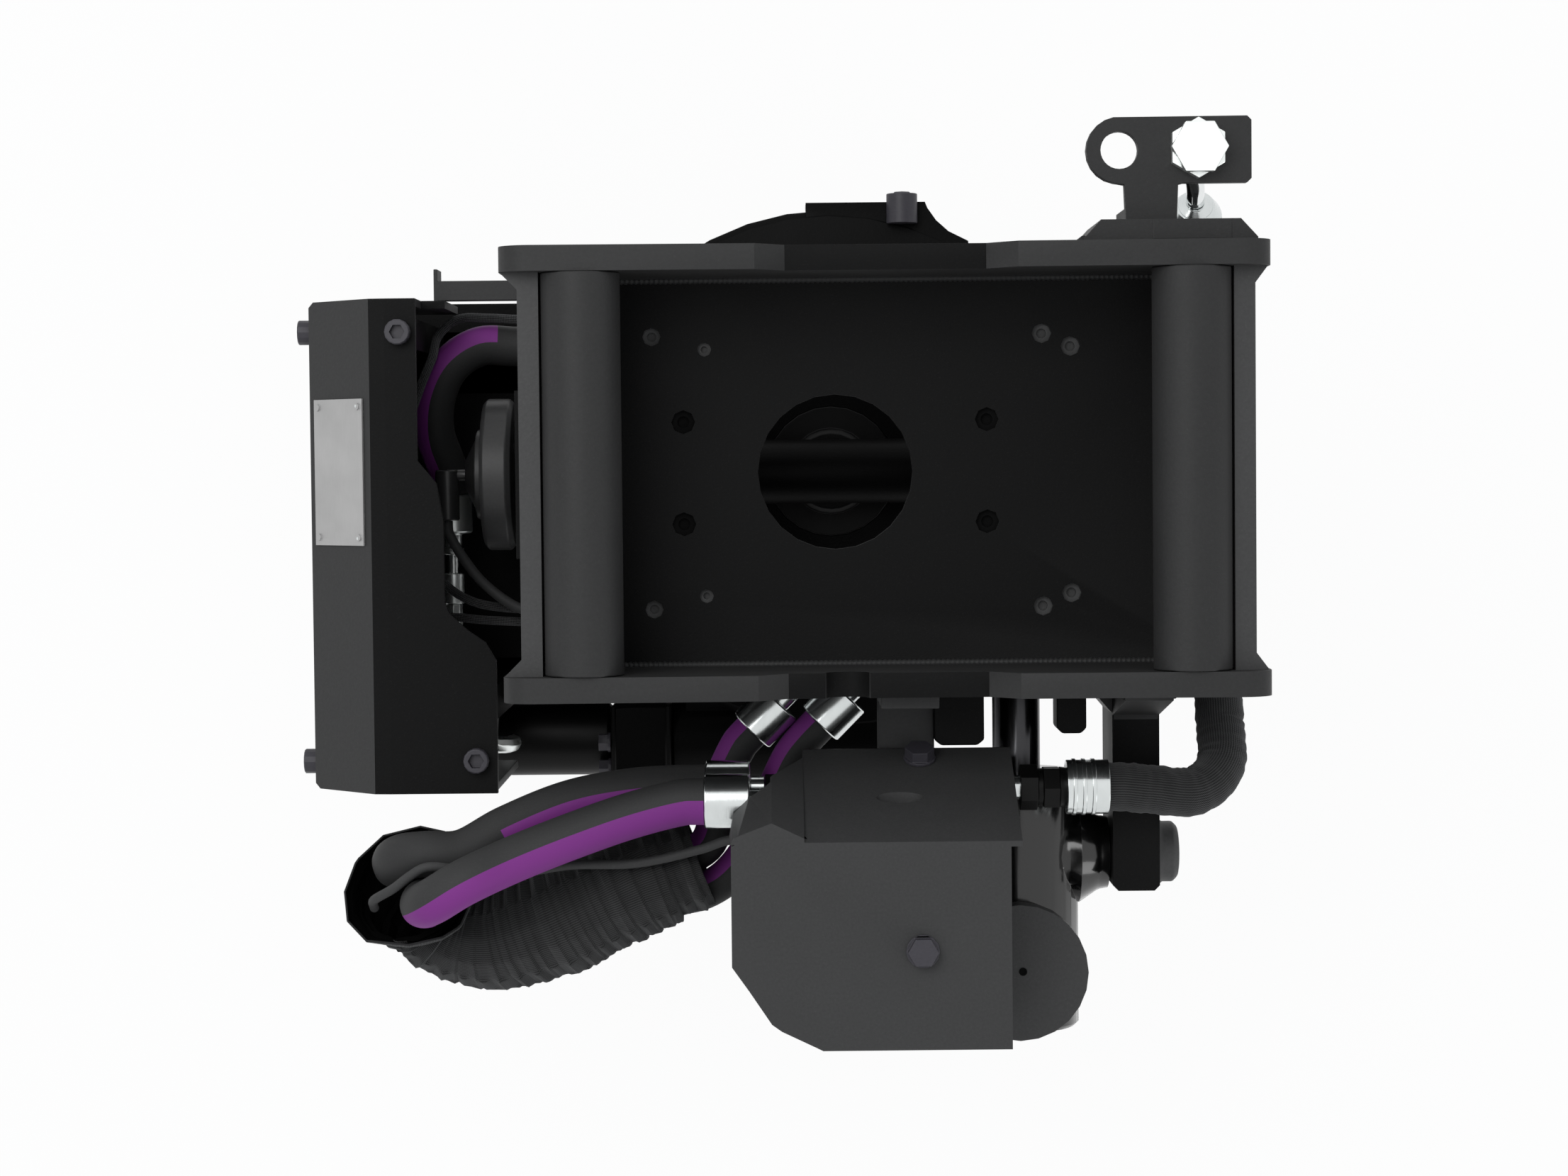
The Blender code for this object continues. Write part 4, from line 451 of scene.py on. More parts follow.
# %% Dressed copies and stacked lengths
def dressed(node_name, *materials, edge=0.0012, choose=None, edge_angle=40.0):
    """Copy of a CAD node with merged corners and rounded edges, in place of the node.

    choose(centre, normal) gives the index of the material for a face.
    """
    work = bmesh.new()
    work.from_mesh(nodes[node_name].data)
    bmesh.ops.remove_doubles(work, verts=work.verts, dist=0.00002)
    bmesh.ops.dissolve_limit(work, angle_limit=math.radians(0.6), verts=work.verts, edges=work.edges)
    mesh = mesh_from(work, "dressed_" + node_name, materials)
    for polygon in mesh.polygons:
        polygon.material_index = choose(polygon.center, polygon.normal) if choose else 0
    smooth_by_angle(mesh)
    made = bevelled(mesh_object(mesh.name, mesh), edge, edge_angle)
    return settle(made, nodes[node_name]["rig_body"], [node_name])


def stacked(name, start_mm, towards, sections, *materials):
    """Turned and hexagonal lengths on one axis, as nuts, ferrules and plugs are.

    Each section is (from, to, first radius, last radius, sides, turn in degrees, material index), in mm.
    """
    work = bmesh.new()
    axis = Vector((0, 0, 1)).rotation_difference(Vector(towards)).to_matrix().to_4x4()
    base = Matrix.Translation(Vector(start_mm) * MM) @ axis
    for first, last, low, high, sides, turn, index in sections:
        lift = Matrix.Translation((0, 0, (first + last) * 0.5 * MM))
        local = lift @ Matrix.Rotation(math.radians(turn), 4, "Z")
        before = set(work.faces)
        bmesh.ops.create_cone(work, cap_ends=True, cap_tris=False, segments=sides, radius1=low * MM,
                              radius2=high * MM, depth=(last - first) * MM, matrix=base @ local)
        for face in set(work.faces) - before:
            face.material_index = index
    mesh = mesh_from(work, name, materials)
    smooth_by_angle(mesh)
    return bevelled(mesh_object(name, mesh), 0.0006, 25.0)


print("dressing copies up to", len(nodes), "nodes")


# %% [markdown]
# Hoses and cables
#
# A hydraulic hose is a tube of one length between two fittings. A curve object with a round bevel would do,
# but the stripe and the braid have to follow the hose without a twist. So each one is a mesh: rings are set
# along the route, each turned as little as possible from the one before, and u and v are written on the way.

# %% Route of a hose
def smooth_route(points, step):
    """Even points on a smooth curve through the given ones, straight in the first and last span."""
    points = [Vector(p) for p in points]
    dense = [points[0]]
    for index in range(len(points) - 1):
        a, b = points[index], points[index + 1]
        before = points[index - 1] if index else a - (b - a)
        after = points[index + 2] if index + 2 < len(points) else b + (b - a)
        if index in (0, len(points) - 2):
            before, after = a - (b - a), b + (b - a)
        knots = [0.0]
        for p, q in ((before, a), (a, b), (b, after)):
            knots.append(knots[-1] + max((q - p).length, 1e-6) ** 0.5)
        count = max(4, int((b - a).length / step * 2))
        for k in range(1, count + 1):
            t = knots[1] + (knots[2] - knots[1]) * k / count
            a1 = before.lerp(a, (t - knots[0]) / (knots[1] - knots[0]))
            a2 = a.lerp(b, (t - knots[1]) / (knots[2] - knots[1]))
            a3 = b.lerp(after, (t - knots[2]) / (knots[3] - knots[2]))
            b1 = a1.lerp(a2, (t - knots[0]) / (knots[2] - knots[0]))
            b2 = a2.lerp(a3, (t - knots[1]) / (knots[3] - knots[1]))
            dense.append(b1.lerp(b2, (t - knots[1]) / (knots[2] - knots[1])))
    return even_points(dense, step)


def even_points(dense, step):
    lengths = [0.0]
    for a, b in zip(dense, dense[1:]):
        lengths.append(lengths[-1] + (b - a).length)
    count = max(2, round(lengths[-1] / step))
    result, index = [], 0
    for k in range(count + 1):
        want = lengths[-1] * k / count
        while index < len(dense) - 2 and lengths[index + 1] < want:
            index += 1
        span = lengths[index + 1] - lengths[index]
        share = (want - lengths[index]) / span if span > 1e-9 else 0.0
        result.append(dense[index].lerp(dense[index + 1], min(1.0, share)))
    return result


def length_of(points):
    return sum((b - a).length for a, b in zip(points, points[1:]))


print("a straight 100 mm has", len(smooth_route([(0, 0, 0), (0.1, 0, 0)], 0.004)), "points")


# %% Rings along a route
def ring_frames(points, mark, mark_share):
    """Direction, side and up at each point, turned so that side meets the mark at one place."""
    count = len(points)
    along = [(points[min(i + 1, count - 1)] - points[max(i - 1, 0)]).normalized() for i in range(count)]
    side = [along[0].orthogonal().normalized()]
    for a, b in zip(along, along[1:]):
        side.append(side[-1].copy())
        side[-1].rotate(a.rotation_difference(b))
        side[-1] = (side[-1] - b * side[-1].dot(b)).normalized()
    place = int(mark_share * (count - 1))
    wanted = Vector(mark) - along[place] * Vector(mark).dot(along[place])
    up = along[place].cross(side[place])
    angle = math.atan2(wanted.dot(up), wanted.dot(side[place]))
    turned = [math.cos(angle) * s + math.sin(angle) * d.cross(s) for d, s in zip(along, side)]
    return along, turned, [d.cross(s) for d, s in zip(along, turned)]


def ring_faces(rows, sides, spacing):
    """Faces between rings of corners, and their marks: u around, v along in metres."""
    faces, marks = [], []
    for i in range(rows - 1):
        for k in range(sides):
            n = (k + 1) % sides
            faces.append((i * sides + k, i * sides + n, (i + 1) * sides + n, (i + 1) * sides + k))
            u0, u1, v0, v1 = k / sides, (k + 1) / sides, i * spacing, (i + 1) * spacing
            marks += [(u0, v0), (u1, v0), (u1, v1), (u0, v1)]
    return faces, marks


def marked_mesh(name, vertices, faces, marks, materials):
    mesh = bpy.data.meshes.new(name)
    mesh.from_pydata([tuple(v) for v in vertices], [], faces)
    layer = mesh.uv_layers.new(name="UVMap")
    for loop, uv in zip(layer.data, marks):
        loop.uv = uv
    for material in materials:
        mesh.materials.append(material)
    return mesh


def tube_mesh(name, points, radius, sides, materials, mark=(0, 0, 1), mark_share=0.5):
    """Tube with u around, from 0 at the mark to 1, and v along in metres. radius may be a function."""
    _, side, up = ring_frames(points, mark, mark_share)
    reach = radius if callable(radius) else (lambda share, turn: radius)
    vertices = []
    last = len(points) - 1
    for i, point in enumerate(points):
        for k in range(sides):
            turn = k / sides
            angle = 2 * math.pi * turn
            outwards = side[i] * math.cos(angle) + up[i] * math.sin(angle)
            vertices.append(point + outwards * reach(i / last, turn))
    spacing = length_of(points) / last
    faces, marks = ring_faces(len(points), sides, spacing)
    faces.append(tuple(range(sides))[::-1])
    faces.append(tuple(last * sides + k for k in range(sides)))
    marks += [(0.25, 0.0)] * sides + [(0.25, last * spacing)] * sides
    mesh = marked_mesh(name, vertices, faces, marks, materials)
    smooth_by_angle(mesh, 60.0)
    return mesh


print("a tube of 8 rings of 12 has", len(ring_faces(8, 12, 0.01)[0]), "faces")


# %% Hose or cable as a cord
def hose(node_name, points_mm, radius, material, mark=(0, 0, 1), mark_share=0.5, sides=40, step=0.004,
         reach=None):
    """A hose or cable in place of its CAD solid; its length is printed."""
    route = smooth_route([Vector(p) * MM for p in points_mm], step)
    mesh = tube_mesh("hose_" + node_name, route, reach or radius, sides, [material], mark, mark_share)
    made = mesh_object("hose_" + node_name, mesh)
    settle(made, nodes[node_name]["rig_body"], [node_name])
    print(node_name, "is", round(length_of(route) * 1000), "mm long")
    return made


# %% Loop hoses
FEED_RADIUS, TAIL_RADIUS, CABLE_RADIUS = 0.017, 0.014, 0.0035
LOOP_FRONT = [(-98.5, -239, 526), (-110.5, -239, 526), (-147.6, -247.4, 527), (-194.8, -262.8, 531),
              (-241.4, -280.2, 540), (-273.6, -294.1, 552), (-293, -306, 547), (-303, -312, 530),
              (-305.5, -313.4, 503), (-306, -318.3, 491)]
LOOP_BACK = [(-98.5, -233, 484), (-110.5, -233, 484), (-149.4, -234.6, 486), (-197.3, -242.4, 492),
             (-244.5, -260, 503), (-277.6, -276.5, 512), (-303, -277, 514), (-320, -279.5, 506),
             (-328.5, -284.8, 492), (-329, -289.7, 480)]
LOOP_INNER = [(-196, -336, 441), (-170, -319, 442), (-144, -303, 444), (-120.4, -290.8, 445.1),
              (-111, -288, 445.8), (-98, -279, 446.5), (-91, -260, 447), (-88, -237, 448),
              (-72, -202, 450), (-64.3, -194.3, 450)]
LOOP_OUTER = [(-196, -346, 441), (-170, -337, 442), (-142, -327, 444), (-118, -319.5, 445.1),
              (-102.5, -315.8, 445.8), (-84, -305, 445), (-64, -280, 444),
              (-50, -247, 445), (-34, -213, 448), (-21, -197, 450), (-13.3, -189.3, 450)]
LOOP_CABLE = [(-52.3, -270, 515), (-61.3, -270, 515), (-80, -269, 513), (-101.8, -276.8, 503),
              (-149, -287, 500), (-199, -288, 500), (-240, -293, 508), (-262, -289.5, 522),
              (-277, -286, 533), (-300, -283.5, 538), (-312, -290, 535), (-325, -300, 528),
              (-341, -310, 515), (-343.5, -314.5, 504), (-344, -319.1, 493)]
hose("loop_hose_front", LOOP_FRONT, FEED_RADIUS, RUBBER_FRONT, (0.1, -0.6, 0.8), 0.4)
hose("loop_hose_back", LOOP_BACK, FEED_RADIUS, RUBBER_BACK, (0.1, -0.35, 0.93), 0.4)
hose("loop_hose_inner", LOOP_INNER, TAIL_RADIUS, RUBBER_TAIL, (-0.7, 0.3, 0.6), 0.8, sides=32)
hose("loop_hose_outer", LOOP_OUTER, TAIL_RADIUS, RUBBER_TAIL, (-0.7, 0.3, 0.6), 0.8, sides=32)
hose("loop_cable", LOOP_CABLE, CABLE_RADIUS, RUBBER_CABLE, sides=14)

# %% Hoses and cables beside the guard
MOTOR_HOSE = [(-190.3, 98.5, 343), (-199.3, 98.5, 343), (-221, 99.2, 343.5), (-247, 99.9, 345),
              (-274.1, 100.1, 348), (-296.3, 86.4, 350), (-309.3, 61.7, 345), (-311.8, 34, 335),
              (-304.9, 8.8, 321), (-300.5, -5, 317), (-300.5, -15, 317)]
SENSOR_CABLE = [(-301, -35.9, 350), (-301, -43, 350), (-297, -52, 351), (-288.4, -65.5, 355),
                (-275.4, -82, 358), (-257.6, -97, 360), (-242.8, -105, 360), (-215, -108, 358),
                (-193.3, -108, 356), (-184.3, -108, 356)]
BRAIDED_LONG = [(-184.3, 121, 356), (-193.3, 121, 356), (-215, 120.8, 356), (-242.8, 120.6, 355),
                (-267.7, 121.9, 355), (-291, 121.2, 352), (-306, 108, 356), (-309, 92, 368),
                (-318, 70, 370), (-329, 39.6, 362), (-331, 14.5, 352), (-326, -10.5, 346),
                (-325, -40, 345), (-319, -66, 345), (-304.6, -85.6, 345), (-282, -99.8, 344),
                (-244.3, -105.7, 343), (-215, -106, 342), (-193.3, -106, 342), (-184.3, -106, 342)]
BRAIDED_SHORT = [(-184.3, -117, 328), (-193.3, -117, 328), (-215, -116.5, 332), (-244.8, -115.9, 338),
                 (-277.6, -113.9, 340), (-301.5, -112, 337), (-318, -118, 325), (-324, -140, 300),
                 (-320, -175, 262), (-316, -203, 230), (-302, -218, 210), (-286.3, -220, 207),
                 (-277.3, -220, 207)]
hose("motor_hose", MOTOR_HOSE, 0.0155, RUBBER_MOTOR, (-0.55, 0.35, 0.75), 0.5)
hose("sensor_cable", SENSOR_CABLE, 0.004, RUBBER_CABLE, sides=16)
hose("braided_cable_long", BRAIDED_LONG, CABLE_RADIUS, BRAID, sides=16)
hose("braided_cable_short", BRAIDED_SHORT, CABLE_RADIUS, BRAID, sides=16)

# %% Hose in a textile sleeve around the right end
RIGHT_RADIUS = 0.018
PUCKER_SHARE = 0.06
RIGHT_HOSE = [(198.3, -234, 500), (208.3, -234, 500), (230, -236, 500), (263, -238, 495), (284, -222, 480),
              (287, -190, 458), (286, -150, 446), (284, -90, 440), (283, 0, 437), (281, 90, 440),
              (276, 150, 445), (272, 170, 451), (269, 181, 459)]
NECK_LINE = [(267, 196, 484), (265.5, 205, 497), (261.5, 218, 510), (258, 225.5, 521)]
dice = random.Random(7)
RIGHT_FOLDS = [(dice.uniform(0.0, 1.0), dice.uniform(20, 90), dice.uniform(0, 6.3)) for _ in range(7)]


def right_reach(share, turn):
    """The loose textile puckers in small folds that run around the hose."""
    puckers = sum(math.sin(share * rate * 2 * math.pi + phase + 6.28 * turn * lean)
                  for lean, rate, phase in RIGHT_FOLDS) / len(RIGHT_FOLDS)
    return RIGHT_RADIUS * (1.0 + PUCKER_SHARE * puckers)


neck_route = smooth_route([Vector(p) * MM for p in NECK_LINE], 0.003)
neck = mesh_object("right_hose_neck", tube_mesh("right_hose_neck", neck_route, 0.0068, 28, [CHROME]))
settle(neck, "adapter")
right_ferrule = stacked("right_hose_ferrule", (269.2, 178.0, 456.0), (-1.5, 16, 26), [
    (0, 18, 20.0, 20.0, 40, 0, 0), (4, 6, 20.8, 20.8, 40, 0, 0), (10, 12, 20.8, 20.8, 40, 0, 0),
    (18, 29, 20.0, 14.0, 40, 0, 0), (29, 33, 13.0, 8.0, 40, 0, 0)], BRIGHT_ZINC)
settle(right_ferrule, "adapter")
hose("right_hose", RIGHT_HOSE, RIGHT_RADIUS, HOSE_WEAVE, sides=44, step=0.0022,
     reach=right_reach)


# %% [markdown]
# The fabric sleeve
#
# A soft sleeve gathers the two hoses and the cable. Its mouth is an open rim of straight cuts, and its
# body is crinkled in fine folds all round, so its outline looks ragged. A smooth tube would miss both.
# The shell is lofted from the rim to a round end, each ring a little larger or smaller than the last one.

# %% Outline of the sleeve
SLEEVE_RIM = [(-312.2, -261.4, 466.7), (-339.7, -267.6, 470.4), (-359.4, -285.4, 478.6),
              (-367.2, -307.6, 488.0), (-364.2, -328.4, 496.4), (-349.5, -342.8, 501.6),
              (-317.8, -346.3, 501.6), (-293.1, -341.3, 498.4), (-279.9, -333.6, 494.7),
              (-273.0, -318.0, 488.0), (-272.5, -298.0, 480.0), (-280.5, -277.0, 471.6),
              (-294.0, -265.5, 467.2)]
SLEEVE_LINE = [(-320, -303, 484, 1.12), (-321, -312, 462, 1.02), (-312, -330, 446, 0.95),
               (-290, -346, 440, 0.97), (-262, -350, 442, 1.02), (-221.6, -339, 449, 1.10),
               (-178.7, -320, 453, 1.11), (-143.7, -304, 455, 1.06), (-104, -290, 454, 0.94)]
SLEEVE_SIDES = 78
SLEEVE_CORNERS = 13
SLEEVE_RADIUS = 0.038
RINGS_A_FOLD = 4
FOLD_DEPTH = 0.00042
FOLD_SPREAD = 0.0019
RAGGED_DEPTH = 0.0027
RIM_SHARE = 0.13


def sleeve_radius(knots, point):
    """Radius at a point, from the shares of the two knots nearest to it."""
    a, b = sorted(range(len(knots)), key=lambda j: (knots[j] - point).length)[:2]
    da, db = (knots[a] - point).length, (knots[b] - point).length
    share = da / (da + db) if da + db else 0
    return SLEEVE_RADIUS * (SLEEVE_LINE[a][3] * (1 - share) + SLEEVE_LINE[b][3] * share)


def rim_spots(rim, along, side, up):
    """The spot of the rim that lies nearest to each of the ring's directions from the rim's middle."""
    centre = sum(rim, Vector()) / len(rim)
    spots = []
    for k in range(SLEEVE_SIDES):
        angle = 2 * math.pi * k / SLEEVE_SIDES
        direction = side * math.cos(angle) + up * math.sin(angle)
        best, spot = -1.0, None
        for a, b in zip(rim, rim[1:] + rim[:1]):
            for t in range(12):
                p = a.lerp(b, t / 12)
                flat = p - centre
                flat = flat - along * flat.dot(along)
                score = flat.normalized().dot(direction)
                if score > best:
                    best, spot = score, p
        spots.append(spot)
    return spots


print("the rim has", len(SLEEVE_RIM), "corners and each ring", SLEEVE_SIDES)


# %% Fabric sleeve
def sleeve_mesh():
    """Shell from the rim to the open far end, each ring folded and ragged."""
    sides = SLEEVE_SIDES
    line = smooth_route([Vector(p[:3]) * MM for p in SLEEVE_LINE], 0.0017)
    count = len(line)
    knots = [Vector(p[:3]) * MM for p in SLEEVE_LINE]
    along, side, up = ring_frames(line, (0.3, 0.6, 0.2), 0.0)
    rim_row = rim_spots([Vector(p) * MM for p in SLEEVE_RIM], along[0], side[0], up[0])
    dice = random.Random(11)
    corner = [dice.uniform(-1, 1) for _ in range(SLEEVE_CORNERS)]
    facet = 2 * math.pi / SLEEVE_CORNERS
    vertices = []
    for i, point in enumerate(line):
        share = i / (count - 1)
        radius = sleeve_radius(knots, point)
        fold = (i % RINGS_A_FOLD - 1.5) * FOLD_DEPTH
        if i % RINGS_A_FOLD == 0:
            wobble = dice.uniform(-FOLD_SPREAD, FOLD_SPREAD)
        pull = max(0.0, 1.0 - share / RIM_SHARE)
        pull = pull * pull * (3 - 2 * pull)
        for k in range(sides):
            angle = 2 * math.pi * k / sides
            inside = (angle % facet) - facet / 2
            flatten = math.cos(facet / 2) / math.cos(inside)
            cut = int(angle / facet)
            ragged = corner[cut % SLEEVE_CORNERS] * RAGGED_DEPTH * math.sin(i * 0.9 + cut * 2.1)
            size = radius * (0.25 + 0.75 * flatten) + fold + wobble + ragged
            spot = point + (side[i] * math.cos(angle) + up[i] * math.sin(angle)) * size
            if pull > 0:
                spot = spot.lerp(rim_row[k] + along[0] * (share * 0.30), pull)
            vertices.append(spot)
    faces, marks = ring_faces(count, sides, length_of(line) / (count - 1))
    return marked_mesh("fabric_sleeve", vertices, faces, marks, [SLEEVE_WEAVE, SLEEVE_INSIDE_SHADE])


sleeve = mesh_object("fabric_sleeve", sleeve_mesh())
wall = sleeve.modifiers.new("wall", "SOLIDIFY")
wall.thickness = 0.0014
wall.offset = -1.0
# The inner wall takes the painted shade of the sleeve's inside.
wall.material_offset = 1
wall.material_offset_rim = 0
smooth_by_angle(sleeve.data, 28.0)
settle(sleeve, "adapter", ["loop_sleeve"])
print("sleeve has", len(sleeve.data.polygons), "faces")


# %% [markdown]
# Welded and folded pieces
#
# The adapter, the guard and the cover are cut plates with small radii on their edges. The CAD solids have
# the right form with sharp edges, which look drawn rather than made. Modelling them again would risk their
# measures, so each is a copy of its solid with merged corners and a small bevel that catches the light.
# Where the deck, the dips and the lug look darker under this light, single faces take a darker copy of the
# paint: painted shade.

# %% Adapter
def adapter_face(centre, normal):
    """Up faces of the deck and dips, and the lug, take the painted shade (1), the end bars the lighter paint
    (2).
    """
    if centre.y < -0.19:
        return 1
    if abs(centre.x - 0.035) > 0.24 and abs(centre.y) < 0.141 and centre.z > 0.54:
        return 2
    if normal.z > 0.6 and centre.z < 0.52 and abs(centre.y) < 0.15:
        return 1
    if normal.z > 0.2 and -0.037 < centre.x < 0.107 and abs(centre.y) > 0.13 and 0.55 < centre.z < 0.604:
        return 1
    return 0


# Deck tops, dip tops and the lug take the painted shade.
dressed("adapter_frame", ADAPTER_GREY, ADAPTER_SHADE_PAINT, BAR_GREY, choose=adapter_face, edge=0.0015)
for name in ("adapter_pin_left", "adapter_pin_right", "hose_bracket"):
    dressed(name, ADAPTER_GREY)
dressed("trunnion_pin", BAR_GREY)
print("adapter dressed")

# %% Guard and cover
# The guard's top face takes the painted shade, and its sloping faces take the lighter paint.
dressed("guard", GUARD_GREY, ADAPTER_SHADE_PAINT, choose=lambda c, n: 1 if n.z > 0.97 else 0, edge=0.0018)
dressed("guide_bracket", GUARD_GREY)
dressed("valve_cover", COVER_GREY, edge=0.0018)
dressed("valve_bracket", GUARD_GREY)
dressed("type_plate", PLATE_METAL, edge=0.0004)
print("guard and cover dressed")

# %% Housing, rotor and lower coupler
dressed("rotor_housing", HOUSING_BLACK, edge=0.0020)
dressed("motor_flange", HOUSING_BLACK)
dressed("coupler_frame", GUARD_GREY, edge=0.0018)
dressed("oil_swivel", MOTOR_BLACK)
dressed("ring_gear", GEAR_STEEL, edge=0.0006)
dressed("worm_shaft", GEAR_STEEL)
dressed("worm_motor", MOTOR_BLACK)
dressed("tilt_axle", AXLE_GREY, BRIGHT_ZINC, HOUSING_BLACK,
        choose=lambda c, n: 0 if c.x < -0.2465 else 1 if c.x < -0.235 else 2)
dressed("axle_lock_plate", AXLE_GREY)
for name in ("axle_bush_left", "axle_bush_right", "lock_pin_near", "lock_pin_far", "lock_crosshead"):
    dressed(name, BRIGHT_ZINC)
dressed("tilt_rod", ROD_METAL, edge=0.0008)
dressed("lock_rod", CHROME, edge=0.0008)
dressed("rod_pin", BRIGHT_ZINC)
dressed("lock_cylinder", GLOSS_BLACK)
print("housing and coupler dressed")

# %% Cylinder, valve block and fittings
dressed("tilt_barrel", GLOSS_BLACK, BAR_GREY,
        choose=lambda c, n: 1 if c.z > 0.4815 and math.hypot(c.x - 0.133, c.y + 0.371) < 0.054 else 0)
# The valve block is near black so that the slot in the cover reads as shade: painted shade.
dressed("valve_block", HOLLOW_SHADE_BLACK)
dressed("loop_manifold", DARK_METAL, BRIGHT_ZINC, choose=lambda c, n: 1 if c.y < -0.1585 else 0, edge=0.0008)
for name in ("fitting_front", "fitting_back"):
    dressed(name, BRIGHT_ZINC, edge=0.0007)
for name in ("motor_hose_end", "motor_pipe"):
    dressed(name, WHITE_ZINC, edge=0.0007)
dressed("angle_sensor", SENSOR_BLACK, edge=0.0008)
for name in ("cover_bolt_top", "cover_bolt_inner", "cover_bolt_outer", "guard_screw_top_1",
             "guard_screw_top_2", "guard_screw_side_1", "guard_screw_side_2", "motor_bolt_1", "motor_bolt_2"):
    dressed(name, BOLT_ZINC, edge=0.0005, edge_angle=20.0)
print("fittings and bolts dressed")

# %% [markdown]
# Nuts, ferrules and plugs
#
# A crimped hose end is a bright ferrule with pressed rings, held by dark hexagon nuts.
# Plain cylinders would not read as nuts, so each piece is stacked from round and six-sided lengths
# on one axis, and two hexagons turned against each other show as a coupling with its lock nut.

# %% Nuts and ferrules
right_nuts = stacked("dressed_fitting_right", (88.0, -233.0, 506.0), (1, 0, 0), [
    (0, 47, 9.0, 9.0, 28, 0, 0), (45, 58, 17.0, 17.0, 6, 0, 1), (58, 62, 14.0, 14.0, 32, 0, 1),
    (62, 74, 16.5, 16.5, 6, 30, 1), (74, 80, 15.0, 14.0, 32, 0, 1), (79, 110, 20.0, 20.0, 40, 0, 0),
    (83, 86, 20.9, 20.9, 40, 0, 0), (90, 93, 20.9, 20.9, 40, 0, 0), (97, 100, 20.9, 20.9, 40, 0, 0)],
    BRIGHT_ZINC, MOTOR_BLACK)
settle(right_nuts, "adapter", ["fitting_right"])
coupling = stacked("dressed_bulkhead_coupling", (256.5, 226.0, 519.5), (0, 0, 1), [
    (0, 57, 13.0, 13.0, 32, 0, 0), (36, 45, 20.5, 20.5, 6, 30, 0), (56, 65, 21.5, 21.5, 6, 0, 0),
    (65, 73.5, 20.2, 20.2, 6, 30, 0)], WHITE_ZINC)
settle(coupling, "adapter", ["bulkhead_coupling"])
far_plug = stacked("far_plug_screw", (60.0, 200.0, 250.0), (0, 1, 0), [
    (0, 24, 12.5, 12.5, 32, 0, 0), (24, 25.5, 8.0, 7.0, 6, 0, 0)], BOLT_ZINC)
settle(far_plug, "housing")
print("nuts, coupling and plug stand for 2 nodes")

# %% [markdown]
# Black sheet under the guard
#
# Between the guard and the housing it is black behind the hoses, deep shade. A black sheet under the guard
# stands in
# for that shade: painted shade. It is an outline with rounded corners, raised to
# its thickness, with a lip that stands against the guard's outer wall.
# The same helper makes two dark blocks under the near side plate and a cap on the bracket's boss.

# %% Folded sheets
def sheet_piece(name, outlines, material, edge=0.0015):
    """Plates from outlines in mm: each is (points in x and y, low z, high z)."""
    work = bmesh.new()
    for points, low, high in outlines:
        floor_row = [work.verts.new((x * MM, y * MM, low * MM)) for x, y in points]
        roof_row = [work.verts.new((x * MM, y * MM, high * MM)) for x, y in points]
        work.faces.new(floor_row[::-1])
        work.faces.new(roof_row)
        for k in range(len(points)):
            n = (k + 1) % len(points)
            work.faces.new((floor_row[k], floor_row[n], roof_row[n], roof_row[k]))
    mesh = mesh_from(work, name, [material])
    smooth_by_angle(mesh)
    return bevelled(mesh_object(name, mesh), edge, 30.0)


# Outline of the black sheet that stands in for the shade under the guard: painted shade.
GUARD_SHADE_OUTLINE = [(-391, -150), (-376, -165), (-224, -165), (-196, -110), (-196, 110), (-224, 139), (-376, 139),
               (-391, 124)]
guard_shade_sheet = sheet_piece("guard_shade_sheet", [
    (GUARD_SHADE_OUTLINE, 235.0, 241.0),
    ([(-391, -150), (-386, -150), (-386, 124), (-391, 124)], 240.0, 300.0)], HOUSING_BLACK)
settle(guard_shade_sheet, "housing")
boss_cap = sheet_piece("bracket_boss_cap", [
    ([(222, 160.5), (278, 160.5), (278, 174.6), (222, 174.6)], 592.0, 598.4)], ADAPTER_GREY, edge=0.001)
settle(boss_cap, "adapter")
# Both blocks take the near black painted shade of the deck's tops.
near_blocks = sheet_piece("near_side_blocks", [
    ([(72, -152), (72, -200), (77, -204), (104, -204), (109, -200), (109, -152)], 446.0, 480.6),
    ([(163, -152), (163, -192), (167, -196), (181, -196), (185, -192), (185, -152)], 446.0, 480.6)],
    ADAPTER_SHADE_PAINT)
settle(near_blocks, "adapter")
print("guard floor, boss cap and near side blocks placed")

# %% [markdown]
# Welds
#
# The side plates are welded to the deck and to the end bars. A weld is a bead with ripples, a few
# millimetres across. It follows a seam, so Geometry Nodes make it: the seam becomes a curve, the curve is
# cut into even steps, its radius swells and shrinks along the way, and a small ring is swept along it.

# %% Helpers for geometry trees
def made_by(tree, name, mesh, values):
    """Runs a tree on a mesh and returns its result as a plain mesh object."""
    host = mesh_object(name + "_source", mesh)
    modifier = host.modifiers.new("tree", "NODES")
    modifier.node_group = tree
    for item in tree.interface.items_tree:
        if item.in_out == "INPUT" and item.name in values:
            modifier[item.identifier] = values[item.name]
    seen_by = bpy.context.evaluated_depsgraph_get()
    result = bpy.data.meshes.new_from_object(host.evaluated_get(seen_by), depsgraph=seen_by)
    host.modifiers.remove(modifier)
    bpy.data.objects.remove(host)
    result.name = name
    return mesh_object(name, result)


def new_tree(name, values):
    geometry = ("Geometry", "Geometry")
    return new_group(name, [(*geometry, None), *values], [geometry], "GeometryNodeTree")


def finish_tree(tree, last, finish):
    """Makes instances real, sets the one material and ends the tree."""
    real = add_node(tree, "GeometryNodeRealizeInstances", in_0=last)
    coated = add_node(tree, "GeometryNodeSetMaterial", in_0=real.outputs[0], in_Material=finish)
    add_node(tree, "NodeGroupOutput", in_0=coated.outputs[0])
    return tree


print("a tree gets a plain mesh and gives one back")


